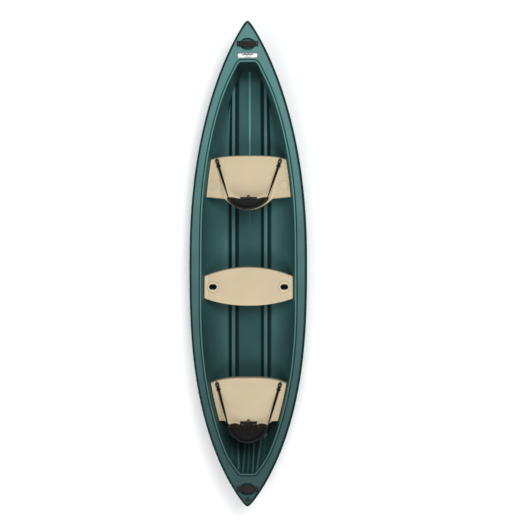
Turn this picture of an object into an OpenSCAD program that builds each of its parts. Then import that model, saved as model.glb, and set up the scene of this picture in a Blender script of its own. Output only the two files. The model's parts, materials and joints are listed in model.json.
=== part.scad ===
// Three-seat recreational canoe: twin-wall moulded hull, three bolted seats,
// two folding backrests with straps, two lifting handles and a drain plug.
// Lengths are in millimetres. +Y is the bow, +X is to starboard, +Z is up,
// and the origin is on the ground under the middle of the hull.

/* [Hull] */
// Length over the two tips
hull_length = 3962; // [3800:10:4200]
// Width over the rim amidships
hull_beam = 978; // [960:2:1000]
// Height of the rim amidships
depth_mid = 371; // [360:1:390]
// How much higher the rim is at the tips
sheer_rise = 125; // [100:5:140]
// Height of the rim's downturned outer skirt
lip_drop = 46; // [38:1:55]
// Thickness of each moulded wall
wall = 4; // [3.5:0.5:5]
// Space from the ground to the cockpit floor
floor_z = 26; // [24:1:30]
// How far the keel line rises at the tips
rocker_rise = 60; // [40:5:80]

/* [Cockpit] */
// Front end of the cockpit
cockpit_bow = 1651; // [1630:1:1660]
// Rear end of the cockpit
cockpit_stern = -1718; // [-1725:1:-1700]
// How far the rear end wall slopes forward on its way down
stern_wall_run = 185; // [150:5:210]
// Half width of the flat cockpit floor
floor_half_w = 180; // [170:1:185]
// Distance of each floor rib from the centre line
rib_offset = 139; // [134:1:142]
// Height of the floor ribs
rib_height = 38; // [30:1:40]

/* [Seats] */
// Height of the seat tops
seat_top = 270; // [262:1:276]
// Depth of the seat mouldings
seat_depth = 52; // [46:1:56]
// Gap between a seat's end and the cockpit wall
seat_gap = 4; // [3:0.5:5]

/* [Backrests] */
// Angle at which the bow backrest leans back
bow_lean = 22; // [20:1:24]
// Angle at which the stern backrest leans back
stern_lean = 27; // [25:1:28]
// Height of a backrest along its face
back_height = 250; // [230:1:260]
// Width of a backrest over its ears
back_width = 346; // [330:1:350]
// Radius to which a backrest wraps around the sitter
back_radius = 350; // [340:1:370]
// Diameter of the hinge pins
pin_d = 8; // [7:0.5:9]

/* [Handles and drain] */
// Length of the carry handles
handle_length = 176; // [170:1:180]
// Width of the finger recess under each handle, across the boat
recess_w = 124; // [100:1:126]
// Length of the finger recess, along the boat
recess_l = 98; // [90:1:100]
// Depth of the finger recess
recess_depth = 30; // [25:1:32]
// Diameter of the drain plug's head
plug_d = 36; // [34:1:38]

/* [Hidden] */
$fn = 48;

half_l = hull_length / 2;
half_b = hull_beam / 2;
seat_low = seat_top - seat_depth;
seat_skin = 6;

green = [0.25, 0.4, 0.38];
tan_plastic = [0.85, 0.78, 0.66];
black_plastic = [0.13, 0.13, 0.14];
pad_grey = [0.22, 0.21, 0.23];
steel = [0.72, 0.73, 0.75];
brass = [0.72, 0.58, 0.3];

// Where things stand along the hull
bow_hinge_y = 535;
stern_hinge_y = -1344;
bow_handle_y = 1794;
stern_handle_y = -1842;
drain_y = -1921;
plate_y = 1701;
slot_x = 299;
slot_y = -197;

// A seat's shape: corner y and bulge of its front edge, outer and inner y of
// its rear wings, half width and rear y of the tongue behind them, and how
// squarely the front edge bulges.
bow_shape = [876, 31, 556, 541, 200, 450, 3.2];
centre_shape = [-103, 76, -294, -294, 370, -354, 2];
stern_shape = [-999, 47, -1322, -1322, 196, -1412, 3.2];

// The y of each seat's two bolt rows
bow_bolts = [620, 800];
centre_bolts = [-255, -140];
stern_bolts = [-1250, -1070];
bolt_z = seat_top - 30;
hull_grip = 30;

// ---- Curves that the hull follows ----

function along(y) = min(abs(y) / half_l, 1);
function mix(a, b, t) = a + (b - a) * t;
function soft_min(a, b) = pow(pow(a, -6) + pow(b, -6), -1 / 6);
// Moves a half width inward by about d, and fades to nothing at the tips
function inset(half, d) = half * half / (half + d + 0.01);
// Quarter curve from floor to side
bilge = 1.9;
function bend(t) = pow(1 - pow(1 - min(t, 1), bilge), 1 / bilge);

function sheer(y) = depth_mid + sheer_rise * pow(along(y), 2.75);
function deck_angle(y) = atan((sheer(y + 2) - sheer(y - 2)) / 4);
function rocker(y) = rocker_rise * pow(max(0, along(y) - 0.5) * 2, 2.5);
function pointed(y) = y > 0
    ? half_b * pow(1 - pow(along(y), 2.22), 0.82)
    : half_b * pow(1 - pow(along(y), 2.67), 0.81);
tip_radius = 14;
tip_reach = 40;
function outline(y) = let (d = half_l - abs(y))
    d <= 0 ? 0 : sqrt(pow(pointed(y), 2) + 2 * tip_radius * d * exp(-d / tip_reach));
function outline_slope(y) = (outline(y + 4) - outline(y - 4)) / 8;
function rim_width(y) = 90 + 13 * exp(-pow(y / 520, 2)) + 2.5 * y / half_l;

// The cockpit's ends at the rim: half width, slope of the sides, and radius of the corners
bow_end = [71, 0.528, 38];
stern_end = [60, 0.8, 14];
function side_line(y) = outline(y) - rim_width(y) * sqrt(1 + pow(outline_slope(y), 2));
// Half width at distance d from an end, round at first and then straight
function end_line(e, d) = let (hyp = sqrt(1 + e[1] * e[1]))
    d < e[2] * (1 - e[1] / hyp)
        ? e[0] - e[2] * (hyp - e[1]) + sqrt(e[2] * e[2] - pow(e[2] - max(d, 0), 2))
        : e[0] + e[1] * d;
// Half width of the cockpit at the rim
function tub_half(y) = pow(pow(side_line(y), -16) + pow(end_line(bow_end, cockpit_bow - y), -16)
    + pow(end_line(stern_end, y - cockpit_stern), -16), -1 / 16);
function tub_floor_half(y) = soft_min(floor_half_w, 0.85 * tub_half(y));
function tub_floor(y) = rocker(y) + floor_z;
// Half width of the cockpit at a height
function wall_half(y, z) = let (t = (z - tub_floor(y)) / (sheer(y) - tub_floor(y)))
    mix(tub_floor_half(y), tub_half(y), bend(t));

// Half width of the outer skin below the lip, by its share of the length
skin_gap = 82;
function skin_half(y) = inset(outline(y), skin_gap);
function skin_floor_half(y) = soft_min(floor_half_w + 24, 0.85 * skin_half(y));

// ---- Lofting ----

// Both sides of a ring from its starboard half, listed from stern to bow
function both_sides(half) = concat(half,
    [for (i = [len(half) - 1 : -1 : 0]) [-half[i].x, half[i].y, half[i].z]]);

// Closed solid through a stack of rings, lowest first
module loft(rings) {
    n = len(rings[0]);
    top = (len(rings) - 1) * n;
    sides = [for (i = [0 : len(rings) - 2]) for (k = [0 : n - 1])
        let (a = i * n + k, b = i * n + (k + 1) % n)
        each [[a, a + n, b + n], [a, b + n, b]]];
    caps = [for (k = [0 : n / 2 - 2])
        each [[k, k + 1, n - 2 - k], [k, n - 2 - k, n - 1 - k],
            [top + k, top + n - 2 - k, top + k + 1], [top + k, top + n - 1 - k, top + n - 2 - k]]];
    polyhedron(points = [for (r = rings) each r], faces = concat(sides, caps));
}

// ---- Hull ----

hull_steps = 32;
stem_run = 100;
lip_tuck = 14;
side_levels = [0, 0.03, 0.1, 0.22, 0.4, 0.62, 0.84, 1];
// Lip rows: inset of the half width, drop below the rim, way that the inner face lies
lip_rows = [[8, lip_drop + 4, 1], [0, lip_drop - 12, 0.5], [0, 12, -0.3], [4, 4, -0.8], [12, 0, -1]];

function station(i, steps) = -cos(180 * i / steps);
// One row of n spaces along the outer surface, moved inward by w
function skin_row(t, w, n) = both_sides([for (i = [0 : n])
    let (s = station(i, n),
        reach = half_l - stem_run * pow(1 - t, 1.8) - lip_tuck - 2 * w,
        y = s * reach,
        low = skin_floor_half(s * half_l),
        half = mix(low, skin_half(s * half_l), bend(t)),
        z = mix(rocker(y), sheer(y) - lip_drop, t),
        rise = t == 1 ? w : w * pow(1 - t, 4))
    [max(inset(half, w), 1.5), y, z + rise]]);
function lip_row(row, w, n) = both_sides([for (i = [0 : n])
    let (s = station(i, n),
        y = s * (half_l - row[0] * 0.7 - 2 * w))
    [max(inset(outline(s * half_l), row[0] + w), 1.5), y, sheer(y) - row[1] + w * row[2]]]);
module envelope(w, n) {
    loft(concat([for (t = side_levels) skin_row(t, w, n)], [for (r = lip_rows) lip_row(r, w, n)]));
}

tub_steps = 36;
cavity_steps = 22;
tub_levels = [0, 0.012, 0.045, 0.1, 0.19, 0.32, 0.5, 0.74, 1];
// One row of n spaces round the cockpit, moved outward by w and up by rise
function tub_row(t, w, rise, n) = both_sides([for (i = [0 : n])
    let (s = station(i, n),
        mid = (cockpit_bow + cockpit_stern) / 2,
        reach = (cockpit_bow - cockpit_stern) / 2,
        y = mid + s * reach,
        near_stern = max(0, 1 - (y - cockpit_stern) / 600),
        y2 = y + stern_wall_run * pow(1 - t, 1.2) * pow(near_stern, 2),
        half = mix(tub_floor_half(y), tub_half(y), bend(t)),
        z = mix(tub_floor(y2), sheer(y2), t))
    [half + w, y2 + w * s, z + rise - w * pow(1 - t, 4)]]);
module tub(w, n) {
    loft(concat([for (t = tub_levels) tub_row(t, w, 0, n)], [tub_row(1, w, 30, n)]));
}

// A bar along the floor, wide at its base; its ends sink in where fade is not 0
bar_steps = 14;
module floor_bar(side, base, crest, low, high, from, to, fade) {
    loft([for (i = [0 : bar_steps])
        let (y = mix(from, to, i / bar_steps),
            x = side * (rib_offset - 10 * pow(along(y), 4)),
            full = fade == 0 ? 1 : min(1, i / fade, (bar_steps - i) / fade),
            top = mix(low + 1, high, full),
            z = rocker(y))
        [[x - base, y, z + low], [x - crest, y, z + top], [x + crest, y, z + top], [x + base, y, z + low]]]);
}
module ribs() {
    for (side = [-1, 1])
        floor_bar(side, 39.5, 13, floor_z - 8, floor_z + rib_height, -1640, 1600, 0);
}
module tracking_channels() {
    for (side = [-1, 1])
        floor_bar(side, 34, 9, -10, floor_z + rib_height - 8, -1390, 1350, 2);
}

// Puts a child on the deck at y, square to the deck, centred on the boat
module on_deck(y) {
    translate([0, y, sheer(y)]) rotate([deck_angle(y), 0, 0]) children();
}
// Puts children on the cockpit wall at each seat bolt, +Z pointing outboard
module at_bolts(rows) {
    for (side = [0, 1]) mirror([side, 0, 0])
        for (y = rows) {
            x = wall_half(y, bolt_z);
            lean_y = (wall_half(y + 3, bolt_z) - wall_half(y - 3, bolt_z)) / 6;
            lean_z = (wall_half(y, bolt_z + 3) - wall_half(y, bolt_z - 3)) / 6;
            size = sqrt(1 + lean_y * lean_y + lean_z * lean_z);
            translate([x, y, bolt_z])
                rotate([0, acos(-lean_z / size), atan2(-lean_y, 1)])
                    children();
        }
}
all_bolts = concat(bow_bolts, centre_bolts, stern_bolts);
screw_x = handle_length / 2 - 13;

// An oval block for a finger recess, grown by g
module recess(height, g) {
    scale([(recess_w + 2 * g) / (recess_l + 2 * g), 1, 1]) cylinder(h = height, d = recess_l + 2 * g);
}
// Solid plastic left inside the cavity round each recess, bolt and screw
module bosses() {
    at_bolts(all_bolts)
        hull() {
            translate([0, 0, -10]) cylinder(h = 1, d = 40, $fn = 13);
            translate([0, 0, hull_grip + 20]) cylinder(h = 30, d = 33, $fn = 13);
        }
    for (y = [bow_handle_y, stern_handle_y]) on_deck(y) {
        translate([0, 0, -recess_depth - wall]) recess(60, wall);
        for (x = [-screw_x, screw_x]) translate([x, 0, -26]) cylinder(h = 60, d = 16, $fn = 13);
    }
    on_deck(drain_y) translate([0, 0, -14]) cylinder(h = 60, d = 40);
    on_deck(plate_y) translate([0, 0, -14]) cube([180, 56, 40], center = true);
}
module cavity() {
    difference() {
        envelope(wall, cavity_steps);
        tub(wall + 1, cavity_steps);
        bosses();
        for (side = [-1, 1])
            translate([side * rib_offset - 46, -1500, -20]) cube([92, 3020, 100]);
    }
}
module hull_shell() {
    color(green)
        difference() {
            envelope(0, hull_steps);
            difference() {
                tub(0, tub_steps);
                ribs();
            }
            cavity();
            tracking_channels();
            at_bolts(all_bolts) {
                translate([0, 0, -30]) cylinder(h = 120, d = 9, $fn = 16);
                translate([0, 0, hull_grip]) cylinder(h = 80, d = 25, $fn = 16);
            }
            for (y = [bow_handle_y, stern_handle_y]) on_deck(y) {
                translate([0, 0, -recess_depth]) recess(60, 0);
                for (x = [-screw_x, screw_x]) translate([x, 0, -20]) cylinder(h = 40, d = 5.6, $fn = 13);
            }
            on_deck(plate_y)
                for (x = [-78, 78]) translate([x, 0, -10]) cylinder(h = 20, d = 4.6, $fn = 13);
            on_deck(drain_y) {
                translate([0, 0, -40]) cylinder(h = 60, d = 28.4);
                translate([0, 0, -2.2]) cylinder(h = 20, d = 34.6);
            }
        }
}

// Foam fills the closed chamber behind each end wall
module foam(from, to, low, high) {
    color([0.93, 0.93, 0.9])
        loft([for (z = [low, high]) both_sides([for (i = [0 : 8])
            let (y = mix(from, to, i / 8)) [min(70, 0.8 * skin_half(y) - 30), y, z]])]);
}
module bow_foam_block() foam(1672, 1830, 190, 400);
module stern_foam_block() foam(-1850, -1745, 210, 400);

module name_plate() {
    color([0.9, 0.9, 0.88])
        on_deck(plate_y) translate([0, 0, 0.4])
            linear_extrude(2)
                difference() {
                    union() {
                        square([150, 44], center = true);
                        square([168, 26], center = true);
                        for (x = [-75, 75], y = [-13, 13]) translate([x, y]) circle(9);
                    }
                    for (x = [-78, 78]) translate([x, 0]) circle(d = 4.4);
                }
}
module name_plate_rivets() {
    color(steel)
        on_deck(plate_y)
            for (x = [-78, 78]) translate([x, 0, 0]) {
                translate([0, 0, -8]) cylinder(h = 12, d = 4);
                translate([0, 0, 2.5]) cylinder(h = 1.6, d1 = 8, d2 = 5);
            }
}

// ---- Seats ----

// Starboard half of a seat's outline at height z, moved inward by e
function seat_side(y, z, e) = wall_half(y, z) - seat_gap - e;
function rear_y(x, s, wide) = x < s[4]
    ? mix(s[5], s[3], pow(x / s[4], 2.2))
    : mix(s[3], s[2], (x - s[4]) / max(wide - s[4], 1));
function seat_half(s, z, e) =
    let (rear = seat_side(s[2], z, 0), front = seat_side(s[0], z, 0))
    concat(
        [for (i = [0 : 12]) let (x = mix(8, rear - e, i / 12)) [x, rear_y(x, s, rear) + e, z]],
        [for (i = [1 : 8]) let (y = mix(s[2] + e, s[0] - e, i / 8)) [seat_side(y, z, e), y, z]],
        [for (i = [1 : 10]) let (x = mix(front - e, 8, i / 10))
            [x, s[0] - e + s[1] * (1 - pow(x / front, s[6])), z]]);
module seat_shell(s) {
    difference() {
        loft([for (r = [[seat_low, 3], [seat_low + 6, 0], [seat_top - 12, 0], [seat_top - 4, 3],
            [seat_top, 7]]) both_sides(seat_half(s, r[0], r[1]))]);
        loft([for (r = [[seat_low - 5, seat_skin + 2], [seat_top - seat_skin - 1, seat_skin + 2]])
            both_sides(seat_half(s, r[0], r[1]))]);
    }
}
module seat(s, rows) {
    color(tan_plastic)
        difference() {
            seat_shell(s);
            at_bolts(rows) translate([0, 0, -40]) cylinder(h = 60, d = 8.8);
            children();
        }
}
module hinge_holes(y) {
    translate([0, y, seat_top - 20]) {
        for (x = [-45, 45]) translate([x, hinge_screw_y, 0]) cylinder(h = 40, d = 5.4);
        translate([0, 24, 0]) cylinder(h = 40, d = 6.4);
    }
}
module anchor_holes(y) {
    each_side(y)
        for (x = [-anchor_screw_x, anchor_screw_x]) translate([x, -10.5, -20]) cylinder(h = 40, d = 4.4);
}
module bow_seat() {
    seat(bow_shape, bow_bolts) {
        hinge_holes(bow_hinge_y);
        anchor_holes(bow_anchor_y);
    }
}
module stern_seat() {
    seat(stern_shape, stern_bolts) {
        hinge_holes(stern_hinge_y);
        anchor_holes(stern_anchor_y);
    }
}
module stadium(long, wide) {
    square([long - wide, wide], center = true);
    for (x = [-1, 1]) translate([x * (long - wide) / 2, 0]) circle(d = wide);
}
module centre_seat() {
    seat(centre_shape, centre_bolts)
        for (x = [-slot_x, slot_x]) translate([x, slot_y, seat_low - 10])
            linear_extrude(100) stadium(62, 41);
}
module centre_seat_grommets() {
    color(black_plastic)
        for (x = [-slot_x, slot_x]) translate([x, slot_y, 0])
            difference() {
                union() {
                    translate([0, 0, seat_top - 16]) linear_extrude(17) stadium(61.4, 40.4);
                    translate([0, 0, seat_top + 0.1]) linear_extrude(2) stadium(67, 46);
                }
                translate([0, 0, seat_top - 30]) linear_extrude(60) stadium(54, 33);
            }
}

module seat_bolts(rows) {
    color(steel)
        at_bolts(rows) {
            translate([0, 0, -28]) cylinder(h = hull_grip + 29.7, d = 8);
            translate([0, 0, hull_grip + 1.7]) cylinder(h = 5.3, r = 7.5, $fn = 6);
        }
}
module seat_washers(rows) {
    color(steel)
        at_bolts(rows)
            for (z = [hull_grip + 0.1, -17.5]) translate([0, 0, z])
                difference() {
                    cylinder(h = 1.5, d = 17);
                    translate([0, 0, -1]) cylinder(h = 4, d = 8.4);
                }
}
module seat_nuts(rows) {
    color(steel)
        at_bolts(rows)
            translate([0, 0, -25.6])
                difference() {
                    cylinder(h = 8, r = 7.5, $fn = 6);
                    translate([0, 0, -1]) cylinder(h = 10, d = 8.04);
                }
}
module bow_seat_bolts() seat_bolts(bow_bolts);
module centre_seat_bolts() seat_bolts(centre_bolts);
module stern_seat_bolts() seat_bolts(stern_bolts);
module bow_seat_washers() seat_washers(bow_bolts);
module centre_seat_washers() seat_washers(centre_bolts);
module stern_seat_washers() seat_washers(stern_bolts);
module bow_seat_nuts() seat_nuts(bow_bolts);
module centre_seat_nuts() seat_nuts(centre_bolts);
module stern_seat_nuts() seat_nuts(stern_bolts);

// ---- Backrests ----

hinge_z = seat_top + 14;
function lean(y) = y > 0 ? bow_lean : stern_lean;
knuckle_d = 16;
ear_v = 95;

// Places upright backrest pieces: hinge axis at the origin, face towards +Y
module leaned(y) {
    translate([0, y, hinge_z]) rotate([lean(y), 0, 0]) children();
}
// Front view of the panel, shrunk by e
function face_half(e) = let (half = back_width / 2 - e, low = 14 + e, ear = ear_v)
    concat(
        [[112 - e, low], [140 - e, low + 20]],
        [for (i = [0 : 3]) [mix(half - 16, half, sin(30 * i)), mix(56, ear, i / 3)]],
        [for (i = [1 : 10]) let (a = 9 * i)
            [half * cos(a) + (i == 10 ? 4 : 0), ear + (back_height - e - ear) * sin(a)]]);
module face(e) {
    half = face_half(e);
    polygon(concat(half, [for (i = [len(half) - 1 : -1 : 0]) [-half[i].x, half[i].y]]));
}
// A panel bent round a vertical cylinder, between two radii
module bent_panel(e, near, far) {
    intersection() {
        translate([0, back_radius, 0])
            difference() {
                cylinder(h = 400, r = far, $fn = 96);
                translate([0, 0, -1]) cylinder(h = 402, r = near, $fn = 96);
            }
        translate([0, 150, 0]) rotate([90, 0, 0]) linear_extrude(200) face(e);
    }
}
rivet_x = 89;
rivet_v = 64;
// Radial hole or pin through the bent panel at the rivets and the strap slots
module at_rivets(x, v) {
    for (side = [-1, 1])
        translate([0, back_radius, v])
            rotate([0, 0, side * asin(x / back_radius)])
                translate([0, -back_radius, 0])
                    rotate([-90, 0, 0])
                        children();
}
strap_x = 160;
module backrest_shell(y) {
    color(black_plastic)
        leaned(y)
            difference() {
                union() {
                    bent_panel(0, back_radius - 6, back_radius + 6);
                    rotate([0, 90, 0]) translate([0, 0, -48]) cylinder(h = 96, d = knuckle_d);
                    translate([-48, -5, 0]) cube([96, 10, 30]);
                }
                rotate([0, 90, 0]) translate([0, 0, -60]) cylinder(h = 120, d = pin_d + 0.1);
                at_rivets(rivet_x, rivet_v) translate([0, 0, -20]) cylinder(h = 60, d = 5.2);
                at_rivets(strap_x, ear_v) translate([0, 0, -20]) cylinder(h = 60, d = 5.2);
            }
}
module backrest_pad(y) {
    color(pad_grey)
        leaned(y)
            difference() {
                bent_panel(26, back_radius - 18, back_radius - 6.4);
                at_rivets(rivet_x, rivet_v) translate([0, 0, -20]) cylinder(h = 60, d = 5.2);
            }
}
// Two rivets hold the pad and one at each ear holds its strap
module backrest_rivets(y) {
    color(brass)
        leaned(y) {
            at_rivets(rivet_x, rivet_v) {
                translate([0, 0, -8]) cylinder(h = 27, d = 5);
                translate([0, 0, 18.2]) cylinder(h = 2, d1 = 11, d2 = 7);
                translate([0, 0, -8.2]) cylinder(h = 2, d1 = 7, d2 = 11);
            }
            at_rivets(strap_x, ear_v) {
                translate([0, 0, -8]) cylinder(h = 20, d = 5);
                translate([0, 0, 11.2]) cylinder(h = 2, d1 = 11, d2 = 7);
                translate([0, 0, -8.2]) cylinder(h = 2, d1 = 7, d2 = 11);
            }
        }
}
plate_t = 4;
hinge_screw_y = 16;
module hinge_bracket(y) {
    color(black_plastic)
        translate([0, y, seat_top])
            difference() {
                union() {
                    translate([-70, -12, 0.1]) cube([140, 34, plate_t]);
                    translate([0, 24, 0.1]) cylinder(h = plate_t, d = 30);
                    for (x = [-70, 50]) translate([x, 0, hinge_z - seat_top]) {
                        rotate([0, 90, 0]) cylinder(h = 20, d = knuckle_d);
                        translate([0, -6, -13]) cube([20, 12, 12]);
                    }
                }
                translate([-80, 0, hinge_z - seat_top])
                    rotate([0, 90, 0]) cylinder(h = 160, d = pin_d + 0.1);
                for (x = [-45, 45]) translate([x, hinge_screw_y, -5]) cylinder(h = 20, d = 5.4);
                translate([0, 24, -5]) cylinder(h = 20, d = 6.4);
                translate([-49, -9, 5.6]) cube([98, 18, 20]);
            }
}
module hinge_pin(y) {
    color(steel)
        translate([0, y, hinge_z]) rotate([0, 90, 0]) {
            translate([0, 0, -72]) cylinder(h = 144, d = pin_d);
            for (z = [-75, 72]) translate([0, 0, z]) cylinder(h = 3, d = 12);
        }
}
module hinge_screws(y) {
    color(steel)
        for (x = [-45, 45]) translate([x, y + hinge_screw_y, seat_top]) {
            translate([0, 0, -14]) cylinder(h = 18.3, d = 5);
            translate([0, 0, plate_t + 0.2]) cylinder(h = 2, d1 = 9, d2 = 6);
        }
}
module hinge_knob(y) {
    color(brass)
        translate([0, y + 24, seat_top]) {
            translate([0, 0, -16]) cylinder(h = 21, d = 6);
            translate([0, 0, plate_t + 0.2]) cylinder(h = 6, d = 22);
            translate([0, 0, -15]) cylinder(h = 5, r = 5.8, $fn = 6);
        }
}

// ---- Straps ----

anchor_x = 266;
anchor_screw_x = 4.3;
bow_anchor_y = 868;
stern_anchor_y = -1003;

module each_side(y) {
    for (side = [-1, 1])
        translate([side * anchor_x, y, seat_top])
            rotate([0, 0, -side * strap_yaw])
                children();
}
strap_yaw = 16;
// Eye that a clip hooks through, screwed to the seat
module strap_anchors(y) {
    color(black_plastic)
        each_side(y)
            difference() {
                union() {
                    translate([-10, -16, 0.1]) cube([20, 12, 4]);
                    translate([-4, -6, 0.1]) cube([8, 18, 13]);
                }
                translate([-10, 0.5, 2.5]) cube([20, 9, 8]);
                for (x = [-anchor_screw_x, anchor_screw_x])
                    translate([x, -10.5, -5]) cylinder(h = 40, d = 4.4);
            }
}
module strap_screws(y) {
    color(steel)
        each_side(y)
            for (x = [-anchor_screw_x, anchor_screw_x]) translate([x, -10.5, 0]) {
                translate([0, 0, -12]) cylinder(h = 17, d = 4);
                translate([0, 0, 4.2]) cylinder(h = 1.8, d1 = 7.5, d2 = 5);
            }
}
// Snap hook: a thick oval ring round the anchor's eye, with a slot for the webbing behind it
module strap_clips(y) {
    color(black_plastic)
        each_side(y)
            translate([0, 0, 4.4])
                linear_extrude(5.5)
                    difference() {
                        translate([0, -16]) rotate(90) stadium(50, 34);
                        translate([0, -9]) rotate(90) stadium(24, 17);
                        translate([0, -31]) square([21, 4], center = true);
                    }
}
module strap_buckles(y) {
    color(black_plastic)
        each_side(y)
            translate([0, -54.5, 5])
                rotate([-14, 0, 0])
                    linear_extrude(5)
                        difference() {
                            square([34, 22], center = true);
                            for (v = [-5, 5]) translate([0, v]) square([25, 4], center = true);
                        }
}
// Webbing on edge from the buckle up to the backrest's ear
function ear_point(y) = let (w = back_radius - 12 - sqrt(pow(back_radius - 12, 2) - strap_x * strap_x) + 12)
    [strap_x, y - ear_v * sin(lean(y)) + w * cos(lean(y)),
        hinge_z + ear_v * cos(lean(y)) + w * sin(lean(y))];
module strap(y, anchor_y, side) {
    near = [anchor_x - 17, anchor_y - 70, seat_top + 17];
    far = ear_point(y);
    color(black_plastic)
        hull() {
            translate([side * near.x, near.y, near.z]) cube([5, 3, 20], center = true);
            translate([side * (far.x + 3), far.y + 8, far.z]) cube([2.5, 3, 22], center = true);
        }
}

// ---- Handles ----

grip_l = 104;
grip_w = 44;
grip_lift = 7;
web_w = 26;
web_end = 85;
// Side view of the webbing, grown by g: flat on the deck at both ends and raised through the grip
module web_path(g) {
    low = grip_lift + 5;
    top = grip_lift + 7.6;
    offset(delta = g)
        polygon([[-web_end, 0.6], [-66, 0.6], [-55, low], [55, low], [66, 0.6], [web_end, 0.6],
            [web_end, 3.2], [65, 3.2], [54, top], [-54, top], [-65, 3.2], [-web_end, 3.2]]);
}
module handle_webbing(y) {
    color(black_plastic)
        on_deck(y)
            difference() {
                translate([0, web_w / 2, 0]) rotate([90, 0, 0]) linear_extrude(web_w) web_path(0);
                for (x = [-screw_x, screw_x]) translate([x, 0, -1]) cylinder(h = 6, d = 5.4);
            }
}
module handle_grip(y) {
    color(black_plastic)
        on_deck(y)
            translate([-grip_l / 2, 0, grip_lift + 6.3]) rotate([90, 0, 90])
                linear_extrude(grip_l)
                    difference() {
                        stadium(grip_w, 13);
                        square([27, 3.6], center = true);
                    }
}
// Housing over each end of the webbing
cap_from = 53.5;
cap_to = 88;
cap_w = 42;
module handle_caps(y) {
    color(black_plastic)
        on_deck(y)
            difference() {
                translate([0, cap_w / 2, 0]) rotate([90, 0, 0]) linear_extrude(cap_w)
                    for (side = [-1, 1]) scale([side, 1])
                        polygon([[cap_from, 0.4], [cap_to, 0.4], [cap_to, 6], [cap_to - 4, 9],
                            [66, 12], [cap_from + 3, 18], [cap_from, 18]]);
                translate([0, web_w / 2 + 0.4, 0]) rotate([90, 0, 0]) linear_extrude(web_w + 0.8)
                    union() {
                        web_path(0.15);
                        square([2 * web_end - 30, 2], center = true);
                    }
                for (x = [-screw_x, screw_x]) translate([x, 0, -1]) {
                    cylinder(h = 20, d = 5.4);
                    translate([0, 0, 8]) cylinder(h = 12, d = 11);
                }
            }
}
module handle_screws(y) {
    color(steel)
        on_deck(y)
            for (x = [-screw_x, screw_x]) translate([x, 0, 0]) {
                translate([0, 0, -17]) cylinder(h = 24.2, d = 5);
                translate([0, 0, 7.1]) cylinder(h = 2.2, d1 = 10, d2 = 7);
            }
}

// ---- Drain ----

bush_bore = 20;
module drain_bushing() {
    color(black_plastic)
        on_deck(drain_y)
            difference() {
                union() {
                    translate([0, 0, -16]) cylinder(h = 16, d = 28);
                    translate([0, 0, -2]) cylinder(h = 2, d = 34);
                }
                translate([0, 0, -20]) cylinder(h = 30, d = bush_bore);
            }
}
module drain_gasket() {
    color([0.08, 0.08, 0.08])
        on_deck(drain_y) translate([0, 0, 0.1])
            difference() {
                cylinder(h = 2, d = 31);
                translate([0, 0, -1]) cylinder(h = 4, d = bush_bore + 0.6);
            }
}
module drain_plug() {
    color(black_plastic)
        on_deck(drain_y)
            difference() {
                union() {
                    translate([0, 0, -10]) cylinder(h = 13, d = bush_bore - 0.1);
                    translate([0, 0, 2.2]) cylinder(h = 7, d = plug_d);
                }
                translate([-14, -2.5, 6]) cube([28, 5, 10]);
            }
}

module bow_backrest_shell() backrest_shell(bow_hinge_y);
module bow_backrest_pad() backrest_pad(bow_hinge_y);
module bow_backrest_rivets() backrest_rivets(bow_hinge_y);
module bow_hinge_bracket() hinge_bracket(bow_hinge_y);
module bow_hinge_pin() hinge_pin(bow_hinge_y);
module bow_hinge_screws() hinge_screws(bow_hinge_y);
module bow_hinge_knob() hinge_knob(bow_hinge_y);
module bow_strap_anchors() strap_anchors(bow_anchor_y);
module bow_strap_screws() strap_screws(bow_anchor_y);
module bow_strap_clips() strap_clips(bow_anchor_y);
module bow_strap_buckles() strap_buckles(bow_anchor_y);
module bow_strap_left() strap(bow_hinge_y, bow_anchor_y, -1);
module bow_strap_right() strap(bow_hinge_y, bow_anchor_y, 1);
module stern_backrest_shell() backrest_shell(stern_hinge_y);
module stern_backrest_pad() backrest_pad(stern_hinge_y);
module stern_backrest_rivets() backrest_rivets(stern_hinge_y);
module stern_hinge_bracket() hinge_bracket(stern_hinge_y);
module stern_hinge_pin() hinge_pin(stern_hinge_y);
module stern_hinge_screws() hinge_screws(stern_hinge_y);
module stern_hinge_knob() hinge_knob(stern_hinge_y);
module stern_strap_anchors() strap_anchors(stern_anchor_y);
module stern_strap_screws() strap_screws(stern_anchor_y);
module stern_strap_clips() strap_clips(stern_anchor_y);
module stern_strap_buckles() strap_buckles(stern_anchor_y);
module stern_strap_left() strap(stern_hinge_y, stern_anchor_y, -1);
module stern_strap_right() strap(stern_hinge_y, stern_anchor_y, 1);
module bow_handle_webbing() handle_webbing(bow_handle_y);
module bow_handle_grip() handle_grip(bow_handle_y);
module bow_handle_caps() handle_caps(bow_handle_y);
module bow_handle_screws() handle_screws(bow_handle_y);
module stern_handle_webbing() handle_webbing(stern_handle_y);
module stern_handle_grip() handle_grip(stern_handle_y);
module stern_handle_caps() handle_caps(stern_handle_y);
module stern_handle_screws() handle_screws(stern_handle_y);

hull_shell();
bow_foam_block();
stern_foam_block();
name_plate();
name_plate_rivets();
bow_seat();
centre_seat();
stern_seat();
bow_seat_bolts();
centre_seat_bolts();
stern_seat_bolts();
bow_seat_washers();
centre_seat_washers();
stern_seat_washers();
bow_seat_nuts();
centre_seat_nuts();
stern_seat_nuts();
centre_seat_grommets();
bow_backrest_shell();
bow_backrest_pad();
bow_backrest_rivets();
bow_hinge_bracket();
bow_hinge_pin();
bow_hinge_screws();
bow_hinge_knob();
bow_strap_anchors();
bow_strap_screws();
bow_strap_clips();
bow_strap_buckles();
bow_strap_left();
bow_strap_right();
stern_backrest_shell();
stern_backrest_pad();
stern_backrest_rivets();
stern_hinge_bracket();
stern_hinge_pin();
stern_hinge_screws();
stern_hinge_knob();
stern_strap_anchors();
stern_strap_screws();
stern_strap_clips();
stern_strap_buckles();
stern_strap_left();
stern_strap_right();
bow_handle_webbing();
bow_handle_grip();
bow_handle_caps();
bow_handle_screws();
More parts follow.
